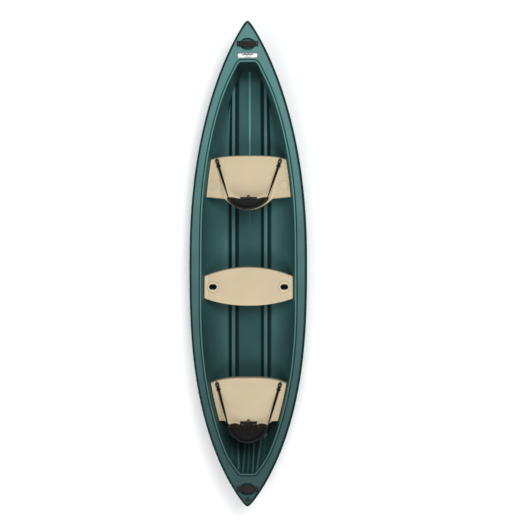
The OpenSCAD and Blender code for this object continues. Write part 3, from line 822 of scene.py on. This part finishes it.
def build_hull():
    skin_levels = [0, 0.01, 0.03, 0.06, 0.1, 0.16, 0.24, 0.34, 0.46, 0.58, 0.7, 0.82, 0.92, 1]
    lip_rows = [(0.070, 0.0465), (0.030, 0.0485), (0.014, 0.0500), (0.008, 0.0502), (0.004, 0.0488),
                (0.001, 0.0455), (0, 0.041), (0, 0.034), (0.0003, 0.027), (0.0012, 0.0205),
                (0.0028, 0.0150), (0.0050, 0.0104), (0.0076, 0.0066), (0.0106, 0.0036),
                (0.0140, 0.0015), (0.0178, 0.0004), (0.022, 0)]
    rings = [skin_ring(t) for t in skin_levels] + [lip_ring(*row) for row in lip_rows]
    edge = tub_ring(1)
    normal = outward(edge[:, :2])
    rim_rows = [(groove_w + 0.0030, 0), (groove_w + 0.0015, -0.0005), (groove_w, -0.0022),
                (groove_w - 0.0012, -0.0044), (groove_w - 0.004, -0.0052), (bead_w + 0.0028, -0.0046),
                (bead_w + 0.0012, -0.0024), (bead_w, 0.0006), (bead_w - 0.0020, 0.0026),
                (bead_w - 0.0050, 0.0034), (0.0060, 0.0034), (0.0030, 0.0026), (0.0010, 0.0006),
                (0, -0.004)]
    outer, inner = rings[-1], rim_ring(edge, normal, *rim_rows[0])
    for share in np.linspace(0, 1, 15)[1:-1]:
        plan = mix(outer[:, :2], inner[:, :2], share)
        rings.append(np.column_stack([plan, sheer(plan[:, 1])]))
    rings += [rim_ring(edge, normal, w, rise) for w, rise in rim_rows]
    wall_levels = [0.95, 0.9, 0.84, 0.77, 0.69, 0.6, 0.51, 0.43, 0.35, 0.28, 0.22, 0.17, 0.13, 0.095,
                   0.068, 0.046, 0.03, 0.018, 0.009, 0.003, 0]
    rings += [dressed(tub_ring(t)) for t in wall_levels]
    hull = loft("hull", rings, floor_columns, keel_height, floor_height)
    stretch = Matrix.Diagonal((recess_stretch, 1, 1, 1))
    cutters = [cylinder("hole", recess_r + 0.0012, -0.045, 0.03, deck_frame(y) @ stretch, recess_sides)
               for y in (bow_handle_y, stern_handle_y)]
    cutters.append(cylinder("hole", drain_hole_r, -0.040, 0.03, deck_frame(drain_y)))
    cutters += [cylinder("hole", washer_hole_r, 0.030, 0.12, wall_frame(side, y, bolt_z), 32)
                for side in (-1, 1) for y in bolt_rows]
    cut(hull, cutters)
    return joined("hull", [hull, recess_cup(bow_handle_y), recess_cup(stern_handle_y)])


def plan_distance(loop, x, y, chosen):
    """How far each chosen point lies from a closed loop in plan; the others get 1."""
    edge = smoothed(loop[:, :2], 0.0015, 0)
    tree = KDTree(len(edge))
    for k, point in enumerate(edge):
        tree.insert((*point, 0), k)
    tree.balance()
    away = np.full(len(x), 1.0)
    for k in np.flatnonzero(chosen):
        away[k] = tree.find((x[k], y[k], 0))[2]
    return away


def mark_painted_light(obj):
    """Marks painted shade where the hull is darker: the floor, the flanks of its ribs, the hollows at the
    ends, the groove, the rim's outer edge, the finger recesses and the stern deck. It also marks painted
    highlights where the
    hull is paler: the bead, the crests of the ribs, the keel strip, the ridges at the stern and the bow deck."""
    x, y, z = coordinates(obj).T
    wide = np.abs(x)
    over_floor = z - tub_floor(y)
    drop = sheer(y) - z
    inside = (wide < wall_half(y, np.maximum(z, tub_floor(y))) + 0.002) & (over_floor > -0.012)
    inside = inside & (y < cockpit_bow + 0.002) & (y > cockpit_stern - 0.002)
    on_floor = inside * (over_floor < 0.012)

    beside = from_rib(x, y)
    crest = mix(0.012, 0.008, grows(y, 0.4, 1.0))
    flank = grows(beside, crest, 0.006) * fades(beside, 0.050, 0.008)
    flank = flank * fades(over_floor, 0.056, 0.01) * inside
    flank = flank * fades(y, 1.60, 0.03) * grows(y, -1.64, 0.03)
    toward_bow = grows(y, 0.2, 0.9)
    strip = fades(wide, 0.0095, 0.003) * on_floor * toward_bow
    beside_strip = band(wide - 0.0145, 0.007) * on_floor * toward_bow
    floor_shade = 0.26 * fades(wide, 0.130, 0.01) * inside * (over_floor < 0.02) + 0.10 * inside
    ridge = flutes(x, y, z) * inside
    valley = fades(wide, 0.105, 0.02) * fades(y, flute_start, 0.08) * inside * (drop > 0.02)
    end_wall = inside * grows(y, 1.48, 0.14) * grows(drop, 0.006, 0.02)

    to_rim = plan_distance(lip_ring(0, 0), x, y, np.abs(drop) < 0.026)
    lip = fades(to_rim, 0.0225, 0.003) * fades(drop, 0.028, 0.012)
    away = plan_distance(tub_ring(1), x, y, np.abs(drop) < 0.009)
    bead = fades(away, 0.0115, 0.002) * (drop < 0.003) * mix(0.20, 0.40, grows(y, -1.6, 1.6))
    under_bead = inside * grows(drop, 0.004, 0.004) * fades(drop, 0.034, 0.014)
    groove = grows(away, 0.0120, 0.002) * fades(away, 0.0235, 0.003)
    groove = groove * (drop > 0.0008) * (drop < 0.009)
    deck = (np.abs(drop) < 0.004) * ~inside
    cups = sum((np.hypot(x / recess_stretch, y - at) < 0.0515) * grows(drop, 0.001, 0.004) * (drop < 0.05)
               for at in (bow_handle_y, stern_handle_y))

    # Painted shade: creases, hollows, the rim's rounded edge, under the bead, and a stern deck that darkens
    # towards the stern.
    dark = np.maximum.reduce([0.92 * flank, 0.95 * lip, 0.3 * cups, 0.8 * groove, 0.7 * end_wall,
                              floor_shade, 0.7 * valley * (1 - ridge), 0.6 * beside_strip,
                              0.75 * under_bead, 0.16 * deck * fades(y, -0.1, 1.1)])
    # Painted highlights: the bead, brighter towards the bow, the rib crests, the keel strip, the stern
    # ridges, and a bow deck that pales towards the bow.
    pale = np.maximum.reduce([bead, 0.17 * deck * grows(y, -0.2, 1.9) * (1 - lip),
                              0.1 * (beside < crest) * inside, 0.6 * strip * (1 - 0.7 * end_wall),
                              0.45 * ridge])
    return mark(obj, dark * (1 - strip), pale)


place(mark_painted_light(build_hull()), "root", "hull_green", "hull_shell")

# ---- Seats ----

seat_top = 0.270
seat_skin = 0.006
seat_gap = 0.004
# The same numbers as the CAD part's: y and bulge of the front edge, outer and inner y of the rear
# wings, half width and rear y of the tongue, and how squarely the front edge bulges
bow_shape = (0.876, 0.031, 0.556, 0.541, 0.200, 0.450, 3.2)
centre_shape = (-0.103, 0.076, -0.294, -0.294, 0.370, -0.354, 2)
stern_shape = (-0.999, 0.047, -1.322, -1.322, 0.196, -1.412, 3.2)
slot_x = 0.299
slot_y = -0.197
wing_ring_x = 0.299
wing_ring_y = 0.657
wing_ring_radius = 0.0385
# The dished pan of a seat: its front and rear y, and its half width at each
bow_pan = (0.855, 0.500, 0.264, 0.186)
stern_pan = (-1.020, -1.375, 0.262, 0.183)


def edge_drop(distance, radius):
    inside = np.clip(distance, 0, radius)
    return radius - np.sqrt(radius**2 - (radius - inside) ** 2)


def seat_lines(shape, x):
    """The rear and front y of a seat at a distance from the centre line."""
    front, bulge, outer, inner, tongue, rear, square = shape
    wide = float(wall_half(outer, seat_top)) - seat_gap
    at = np.abs(x)
    wing = mix(inner, outer, np.clip((at - tongue) / max(wide - tongue, 0.001), 0, 1))
    back = np.where(at < tongue, mix(rear, inner, (at / tongue) ** 2.2), wing)
    width = float(wall_half(front, seat_top)) - seat_gap
    return back, front + bulge * (1 - np.clip(at / width, 0, 1) ** square)


def from_slot(x, y):
    return np.hypot(np.abs(x) - slot_x, y - slot_y)


def from_wing_ring(x, y):
    return np.abs(np.hypot(np.abs(x) - wing_ring_x, y - wing_ring_y) - wing_ring_radius)


def pan_half(y, front_y, rear_y, front_half, rear_half):
    return mix(rear_half, front_half, (y - rear_y) / (front_y - rear_y))


def mark_painted_seat_light(seat, shape):
    """Marks painted highlights on the paler ridges beside the pan and round the slots, and painted shade on
    the darker edges and front bevel.
    """
    x, y, z = coordinates(seat).T
    back, front = seat_lines(shape, x)
    on_top = grows(z, seat_top - 0.018, 0.006)
    # Painted shade on the front bevel, which faces away from the light.
    bevel = fades(front - y, 0.017, 0.004) * on_top * fades(z, seat_top - 0.0004, 0.004)
    to_side = wall_half(y, seat_top) - seat_gap - np.abs(x)
    to_edge = np.minimum(np.minimum(to_side, front - y), y - back)
    edge_shade = 0.42 * fades(to_edge, 0.0045, 0.004)
    paler = [0.7 * band(to_side - 0.009, 0.007)]
    if shape is centre_shape:
        ring = from_slot(x, y)
        paler += [band(ring - 0.037, 0.007), 0.35 * fades(to_side, 0.033, 0.004),
                  0.7 * fades(y - back, 0.010, 0.004)]
        beside_ring = band(ring - 0.0475, 0.006) * grows(to_side, 0.004, 0.004)
        bevel = np.maximum(bevel, 0.5 * beside_ring * on_top)
    else:
        pan_shape = bow_pan if shape is bow_shape else stern_pan
        ridge = band(pan_half(y, *pan_shape) - np.abs(x), 0.008)
        paler.append(0.9 * ridge * fades(y, pan_shape[0] + 0.01, 0.03))
    if shape is bow_shape:
        bevel = np.maximum(bevel, 0.3 * band(from_wing_ring(x, y), 0.005) * on_top)
    pale = np.maximum.reduce(paler) * on_top
    return mark(seat, np.maximum(0.62 * bevel, edge_shade), pale * (1 - bevel))


def build_seat(name, shape, relief, front_radius, cutters):
    """A hollow seat moulding: a grid with rounded edges, a skirt, and a skin of even thickness."""
    across, deep = 150, 104
    dense, side_spacing = 0.93, 0.35  # beyond this share of the width, columns are closer by this factor
    edge = np.array([0, 0.0006, 0.002, 0.0045, 0.008, 0.012, 0.017])
    fine, even = np.ones(len(edge)), deep - 2 * len(edge)
    u = np.linspace(-1, 1, across + 1)
    v = np.concatenate([0 * fine, np.linspace(0, 1, even + 2)[1:-1], fine])
    shift = np.concatenate([edge, np.zeros(even), -edge[::-1]])
    u, v = np.meshgrid(u, v, indexing="ij")
    outer, inner = 1 - (1 - np.abs(u)) * side_spacing, np.abs(u) * (1 - (1 - dense) * side_spacing) / dense
    steps = np.sign(u) * np.where(np.abs(u) > dense, outer, inner)
    x = u * (float(wall_half(shape[2], seat_top)) - seat_gap)
    for _ in range(3):
        back, front = seat_lines(shape, x)
        y = mix(back + 0.02, front - 0.02, v)
        y = np.where(v == 0, back + shift[None, :], np.where(v == 1, front + shift[None, :], y))
        side = wall_half(y, seat_top) - seat_gap
        x = steps * side
    to_side = side - np.abs(x)
    drop = np.maximum(edge_drop(to_side, 0.008), edge_drop(y - back, 0.009))
    drop = np.maximum(drop, edge_drop(front - y, front_radius))
    z = seat_top - drop + relief(x, y, to_side, front - y, y - back)
    rows, columns = x.shape
    top = np.column_stack([x.ravel(), y.ravel(), z.ravel()])
    index = np.arange(rows * columns).reshape(rows, columns)
    loop = np.concatenate([index[:-1, 0], index[-1, :-1], index[:0:-1, -1], index[0, :0:-1]])
    faces = grid(index)
    verts = [top]
    previous = loop
    for height, inward in ((0.222, 0), (0.219, 0.0012), (0.218, 0.003)):
        spoke = top[loop, :2] - np.array((0, y.mean()))
        plan = top[loop, :2] - inward * spoke / np.linalg.norm(spoke, axis=1)[:, None]
        drawn = np.arange(len(loop)) + sum(len(part) for part in verts)
        verts.append(np.column_stack([plan, np.full(len(loop), height)]))
        ahead = np.roll(np.arange(len(loop)), -1)
        faces += np.column_stack([previous, previous[ahead], drawn[ahead], drawn]).tolist()
        previous = drawn
    seat = new_object(name, np.vstack(verts), faces, 50)
    skin = seat.modifiers.new("skin", "SOLIDIFY")
    skin.thickness = seat_skin
    skin.offset = -1
    baked(seat)
    if cutters:
        cut(seat, cutters)
    seat.data.set_sharp_from_angle(angle=math.radians(50))
    return mark_painted_seat_light(seat, shape)


def pan(x, y, front_y, rear_y, front_half, rear_half):
    """A shallow dish to sit in, with a low ridge along each side."""
    inside = pan_half(y, front_y, rear_y, front_half, rear_half) - np.abs(x)
    ends = fades(y, front_y + 0.03, 0.05) * grows(y, rear_y - 0.05, 0.04)
    return (0.0028 * band(inside, 0.009) - 0.006 * smooth(inside / 0.05)) * ends


def bow_relief(x, y, *edges):
    ring = np.hypot(np.abs(x) - wing_ring_x, y - wing_ring_y)
    lift = 0.0014 * band(from_wing_ring(x, y), 0.005) - 0.001 * fades(ring, 0.036, 0.01)
    return lift + pan(x, y, *bow_pan)


def stern_relief(x, y, *edges):
    return pan(x, y, *stern_pan)


def centre_relief(x, y, to_side, to_front, to_rear):
    """A groove that sets off each end strip, a raised ring round each slot and a shallow dish between."""
    strip = -0.0016 * band(to_side - 0.033, 0.004) + 0.001 * fades(to_side, 0.030, 0.006)
    strip = strip * grows(to_side, 0.010, 0.005)
    lift = 0.0022 * band(from_slot(x, y) - 0.040, 0.006) * grows(to_side, 0.004, 0.01)
    middle = fades(np.abs(x), 0.215, 0.05) * smooth(to_front / 0.05) * smooth(to_rear / 0.05)
    return strip + lift - 0.004 * middle


def stadium(long, wide):
    turn = np.linspace(-np.pi / 2, np.pi / 2, 17)
    arc = np.column_stack([np.cos(turn), np.sin(turn)]) * wide / 2
    half = arc + [(long - wide) / 2, 0]
    return np.vstack([half, -half])


def slot_hole(x):
    hole = layered("hole", stadium(0.062, 0.041), plain_rows(-0.06, 0.03))
    return moved(hole, Matrix.Translation((x, slot_y, seat_top)))


for name, shape, relief, radius in (
    ("bow_seat", bow_shape, bow_relief, 0.016),
    ("centre_seat", centre_shape, centre_relief, 0.016),
    ("stern_seat", stern_shape, stern_relief, 0.018),
):
    holes = [slot_hole(side * slot_x) for side in (-1, 1)] if name == "centre_seat" else ()
    place(build_seat(name + "_moulding", shape, relief, radius, holes), "root", "seat_tan", name)

# ---- Backrests ----

back_radius = 0.350
back_half_w = 0.173
back_top = 0.250
ear_v = 0.095
arch_power = 1.75
lean_degrees = {"bow": 22, "stern": 27}


def hinge_frame(end):
    """The frame of a backrest that leans back: hinge axis at the origin and the face towards +Y."""
    joints = frame["record"]["behaviour"]["joints"]
    hinge = next(joint["pos_m"] for joint in joints if joint["name"] == end + "_backrest_fold")
    return Matrix.Translation(hinge) @ Matrix.Rotation(math.radians(lean_degrees[end]), 4, "X")


def face_outline(shrink):
    """Front view of a backrest panel: a flat foot, flared sides and an arched top."""
    low = 0.014 + shrink
    half = back_half_w - shrink
    sides = [(0.112 - shrink, low), (0.140 - shrink, low + 0.020),
             (half - 0.016, 0.056), (half - 0.004, 0.076)]
    turn = np.linspace(0, np.pi / 2, 40)
    arch = np.column_stack([half * np.cos(turn) ** (2 / arch_power),
                            ear_v + (back_top - shrink - ear_v) * np.sin(turn) ** (2 / arch_power)])
    starboard = np.vstack([sides, arch])
    return smoothed(np.vstack([starboard, (starboard * [-1, 1])[::-1]]), 0.004, 3)


def wrapped(obj, end):
    """Wraps a flat piece of (x, height along the face, depth towards the sitter) round a backrest."""

    def bent(p):
        turn = np.arcsin(np.clip(p[:, 0] / back_radius, -0.95, 0.95))
        reach = back_radius - p[:, 2]
        return np.column_stack([np.sin(turn) * reach, back_radius - np.cos(turn) * reach, p[:, 1]])

    return moved(reshaped(obj, bent), hinge_frame(end))


def build_shell(end):
    """The moulded panel with a raised rim, its web and its hinge knuckle."""
    panel = wrapped(layered("panel", face_outline(0), rounded_rows(-0.006, 0.006, 0.0052)), end)
    ends = [(-0.048, 0.0068), (-0.0472, 0.0077), (-0.046, 0.008),
            (0.046, 0.008), (0.0472, 0.0077), (0.048, 0.0068)]
    rings = [[(x, r * math.cos(a), r * math.sin(a)) for a in circle(40)] for x, r in ends]
    web = layered("web", smoothed(rectangle(0.048, 0.005), 0.001, 2), plain_rows(0, 0.030))
    pieces = [moved(piece, hinge_frame(end)) for piece in (swept("knuckle", rings), web)]
    return joined(end + "_backrest_panel", [panel, *pieces])


swell_limit = 0.005


def puffed(pad):
    """Swells a closed pad by cloth simulation, with a cap on how far a point may move."""
    remesh = pad.modifiers.new("remesh", "REMESH")
    remesh.mode = "VOXEL"
    remesh.voxel_size = 0.005
    baked(pad)
    cloth = pad.modifiers.new("cloth", "CLOTH")
    cloth.settings.use_pressure = True
    cloth.settings.uniform_pressure_force = 4
    cloth.settings.effector_weights.gravity = 0
    for step in range(1, 21):
        scene.frame_set(step)
    graph = bpy.context.evaluated_depsgraph_get()
    swollen = coordinates(pad.evaluated_get(graph))
    pad.modifiers.clear()
    scene.frame_set(1)

    def capped(p):
        move = swollen - p
        size = np.maximum(np.linalg.norm(move, axis=1), 1e-9)[:, None]
        return p + move / size * np.minimum(size, swell_limit)

    return reshaped(pad, capped)


def build_pad():
    """One flat pad: swollen cover, a sewn channel along the edge, and piping round the seam."""
    outline = face_outline(0.029)
    pad = layered("pad", outline, rounded_rows(0.0080, 0.0140, 0.0028))
    pad = puffed(pad)
    finer = pad.modifiers.new("finer", "SUBSURF")
    finer.levels = finer.render_levels = 1
    baked(pad)
    channel = face_outline(0.046)

    def sewn(p):
        gap = np.min(np.hypot(p[:, 0, None] - channel[:, 0], p[:, 1, None] - channel[:, 1]), axis=1)
        depth = p[:, 2] - 0.0026 * smooth(1 - gap / 0.006) * (p[:, 2] > 0.011)
        return np.column_stack([p[:, :2], np.clip(depth, 0.0066, 0.0182)])

    pad = reshaped(pad, sewn)
    seam = face_outline(0.0285)
    piping = tube("piping", np.column_stack([seam, np.full(len(seam), 0.0098)]), 0.0022)
    return joined("pad", [pad, piping], 60)


flat_pad = build_pad()
for end in ("bow", "stern"):
    body = end + "_backrest"
    place(build_shell(end), body, "black_plastic", end + "_backrest_shell")
    pad = linked(end + "_backrest_cushion", flat_pad.data.copy())
    place(wrapped(pad, end), body, "pad_cloth", end + "_backrest_pad")
bpy.data.objects.remove(flat_pad)

# ---- Straps ----

strap_w = 0.020
strap_t = 0.0018
handle_strap_w = 0.0256
handle_strap_t = 0.0022
anchor_x = 0.266
anchor_turn = 16  # degrees
strap_twist = 78
side_names = {-1: "port", 1: "starboard"}


def along_path(points, count):
    """Even points along a line that turns softly at its corners."""
    points = np.asarray(points, float)
    at = np.linspace(0, travelled(points)[-1], count)
    path = points_at(points, at)
    for _ in range(4):
        path[1:-1] = (path[:-2] + 2 * path[1:-1] + path[2:]) / 4
    return path, at


def webbing(name, path, at, wide, width, thickness):
    """Flat webbing along a path, with its width along the directions given, and a strip map."""
    tangent = np.gradient(path, axis=0)
    share = np.sum(wide * tangent, 1, keepdims=True) / np.sum(tangent**2, 1, keepdims=True)
    wide = wide - share * tangent
    wide /= np.linalg.norm(wide, axis=1)[:, None]
    thick = np.cross(tangent, wide)
    thick /= np.linalg.norm(thick, axis=1)[:, None]
    section = [(-0.5, -0.3), (-0.47, -0.5), (0.47, -0.5), (0.5, -0.3),
               (0.5, 0.3), (0.47, 0.5), (-0.47, 0.5), (-0.5, 0.3)]
    sections = np.stack([path + wide * a * width + thick * b * thickness for a, b in section], 1)
    obj = swept(name, sections)
    strip = obj.data.uv_layers.new(name="strip")
    for loop in obj.data.loops:
        row, k = divmod(loop.vertex_index, len(section))
        strip.data[loop.index].uv = (at[row], section[k][0] * width)
    return paint(obj, "webbing")


def anchor_frame(end, side):
    """The frame of a strap's anchor on its seat, turned towards the backrest."""
    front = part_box(end + "_strap_anchors")[1].y
    turn = math.radians(anchor_turn)
    y = front - 0.012 * math.cos(turn) - 0.004 * math.sin(turn)
    return Matrix.Translation((side * anchor_x, y, seat_top)) @ Matrix.Rotation(-turn * side, 4, "Z")


def build_strap(end, side):
    """Webbing from the clip's slot through the buckle, twisting on its way up to the backrest's ear."""
    anchor = anchor_frame(end, side)
    hinge = hinge_frame(end)

    def on_ear(x, depth):
        turn = math.asin(x / back_radius)
        reach = back_radius - depth
        y = back_radius - math.cos(turn) * reach
        return hinge @ Vector((side * math.sin(turn) * reach, y, ear_v))

    at_clip = ((-0.0300, 0.0070), (-0.036, 0.0115), (-0.054, 0.0125), (-0.070, 0.0170))
    at_ear = ((0.1720, 0.0140), (0.1640, 0.0085), (0.1500, 0.0082))
    points = [anchor @ Vector((0, y, z)) for y, z in at_clip] + [on_ear(x, depth) for x, depth in at_ear]
    path, at = along_path(points, 110)
    flat_way = np.array(anchor.to_3x3() @ Vector((1, 0, 0)))
    edge_way = np.array(hinge.to_3x3() @ Vector((0, 0, 1))) * side
    angle = grows(at / at[-1], 0.12, 0.80)[:, None] * math.radians(strap_twist)
    wide = np.cos(angle) * flat_way + np.sin(angle) * edge_way
    strap = webbing(end + "_strap_" + side_names[side], path, at, wide, strap_w, strap_t)
    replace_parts(strap, end + ("_strap_left" if side < 0 else "_strap_right"))
    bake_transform(strap)


for end in ("bow", "stern"):
    for side in (-1, 1):
        build_strap(end, side)

# ---- Handles ----

grip_rise = 0.0133
grip_half_l = 0.052
grip_half_w = 0.022
ridge_pitch = 0.004
ridge_half_w = 0.0125


def build_grip(y):
    """A soft grip with fine crosswise ridges along the middle of its top."""
    turn = circle(56)
    depth = np.sign(np.cos(turn)) * np.abs(np.cos(turn)) ** 0.45 * grip_half_w
    height = np.sign(np.sin(turn)) * np.abs(np.sin(turn)) ** 0.6 * 0.0064
    sections = []
    for x in np.linspace(-grip_half_l, grip_half_l, 209):
        taper = 1 - 0.10 * float(grows(abs(x), grip_half_l - 0.0025, 0.0025))
        ridge = 0.0009 * (0.5 - 0.5 * math.cos(2 * math.pi * x / ridge_pitch))
        ridge = ridge * fades(np.abs(depth), ridge_half_w, 0.002) * (abs(x) < 0.047)
        step = 0.0006 * grows(np.abs(depth), ridge_half_w, 0.001)
        top = height * taper - np.where(height > 0, ridge + step, 0)
        sections.append(np.column_stack([0 * depth + x, depth * taper, top + grip_rise]))
    return moved(swept("grip", sections), deck_frame(y))


def build_handle_webbing(end, y, side):
    """One half of the webbing, from under its cap into the grip."""
    deck = deck_frame(y)
    line = [(0.085, 0.0019), (0.0655, 0.0019), (0.0560, 0.0120), (0.0530, grip_rise), (0.030, grip_rise)]
    path, at = along_path([deck @ Vector((side * x, 0, z)) for x, z in line], 160)
    wide = np.tile(np.array(deck.to_3x3() @ Vector((0, 1, 0))), (len(path), 1))
    half = webbing(end + "_webbing_" + side_names[side], path, at, wide, handle_strap_w, handle_strap_t)
    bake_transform(half)
    return half


for end, y in (("bow", bow_handle_y), ("stern", stern_handle_y)):
    grip = build_grip(y)
    grip.name = end + "_soft_grip"
    place(grip, end + "_grip", "grip_rubber", end + "_handle_grip")
    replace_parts(build_handle_webbing(end, y, -1), end + "_handle_webbing")
    build_handle_webbing(end, y, 1)

# ---- Name plate and drain plug ----

ink_low = 0.0020
ink_high = 0.00256


def printed(x, middle, half):
    """A raised band of ink along X, with the height of its middle and its half width at each x."""
    edges = ((-1, ink_low), (-1, ink_high), (1, ink_high), (1, ink_low))
    return swept("ink", [[(a, b + side * h, z) for side, z in edges] for a, b, h in zip(x, middle, half)])


def border(outer, inner):
    """A raised frame of ink between two loops."""
    count = min(len(outer), len(inner))
    outer, inner = [loop[(np.arange(count) * len(loop) / count).astype(int)] for loop in (outer, inner)]
    corners = ((outer, ink_low), (outer, 0.00255), (inner, 0.00255), (inner, ink_low))
    loops = [np.column_stack([loop, np.full(count, z)]) for loop, z in corners]
    return swept("border", np.stack(loops, 1), closed=True)


def build_plate():
    """A printed plate with a dark border, a plain wave mark and two bars."""
    corners = rectangle(0.084, 0.022)
    plate = layered("plate", smoothed(corners, 0.0015, 14), rounded_rows(0.0004, 0.0024, 0.0009))
    outer, inner = [smoothed(corners * share, 0.0015, 12) for share in ([0.990, 0.965], [0.925, 0.72])]
    x = np.linspace(-0.050, 0.050, 80)
    crest = 0.0075 + 0.0028 * np.sin(x * 2 * np.pi / 0.028)
    ink = [border(outer, inner), printed(x, crest, 0.0050 * (1 - (np.abs(x) / 0.056) ** 4))]
    for middle, half, reach in ((-0.00625, 0.00125, 0.034), (-0.0125, 0.0010, 0.022)):
        ink.append(printed((-reach, reach), (middle, middle), (half, half)))
    marks = joined("marks", ink)
    for slot in ("plate_white", "black_plastic"):
        marks.data.materials.append(MATERIALS[slot])
    marks.data.polygons.foreach_set("material_index", [1] * len(marks.data.polygons))
    mesh = joined("plate_with_mark", [paint(plate, "plate_white"), marks])
    for slot in ("plate_white", "black_plastic"):
        mesh.data.materials.append(MATERIALS[slot])
    return moved(mesh, deck_frame(plate_y))


place(build_plate(), "root", "plate_white", "name_plate")


def build_plug():
    """A plug with a ribbed head, a dished face and a slot for a coin."""
    profile = [(0, -0.010), (0.0094, -0.010), (0.00995, -0.0094), (0.00995, 0.0022), (0.0170, 0.0022),
               (0.0178, 0.0030), (0.0178, 0.0080), (0.0170, 0.0090), (0.0150, 0.0092), (0.0138, 0.0086),
               (0.0120, 0.0080), (0, 0.0078)]

    def ribs(angle, r):
        return 1 + 0.02 * np.cos(18 * angle) * (r > 0.0165)

    plug = turned("drain_plug_head", profile, 144, ribs)
    slot = layered("slot", stadium(0.026, 0.0045), plain_rows(0.0058, 0.012))
    return moved(cut(plug, [slot]), deck_frame(drain_y))


place(build_plug(), "drain_cap", "black_plastic", "drain_plug")

# ---- CAD nodes that are shown as they are ----

for part in frame["record"]["subparts"]:
    name = part["node"]
    shown = frame["nodes"][name]
    if not shown.hide_render:
        small_dark = name.endswith(("strap_screws", "hinge_screws", "handle_screws"))
        slot = "old_brass" if name.endswith("hinge_knob") else part["material_slot"]
        paint(shown, "blackened" if small_dark else slot)
        bevelled(shown, 0.0006, 2)

# ---- Floor and light ----

floor_mesh = bpy.data.meshes.new("floor")
floor_mesh.from_pydata([(x, y, -0.001) for x, y in rectangle(30.0, 30.0)], [], [(0, 1, 2, 3)])
floor = linked("floor", floor_mesh)
pale, pale_tree, pale_shader = node_tree("floor_pale")
pale_colour = ramp(pale_tree, noise(pale_tree, 1.5, 2.0), 0.92, 0.95)
feed(pale_tree, pale_shader, {"Base Color": pale_colour, "Roughness": 0.9})
floor.data.materials.append(pale)

world = bpy.data.worlds.new("studio")
world.use_nodes = True
sky = world.node_tree.nodes["Background"]
feed(world.node_tree, sky, {"Color": (0.95, 0.97, 1.0, 1), "Strength": 0.36})
scene.world = world


def softbox(name, place_at, aim_at, size, power):
    data = bpy.data.lights.new(name, "AREA")
    data.shape = "RECTANGLE"
    data.size, data.size_y = size
    data.energy = power
    lamp = linked(name, data)
    lamp.location = place_at
    lamp.rotation_euler = (Vector(aim_at) - Vector(place_at)).to_track_quat("-Z", "Y").to_euler()


softbox("overhead_bow", (1.6, 3.0, 8.5), (0, 0.6, 0.3), (4.0, 4.0), 560)
softbox("overhead_stern", (-0.5, -4.5, 7.5), (0, -0.9, 0.3), (4.0, 3.0), 300)
softbox("fill", (-5.5, -1.0, 4.5), (0, -0.5, 0.3), (3.0, 5.0), 60)
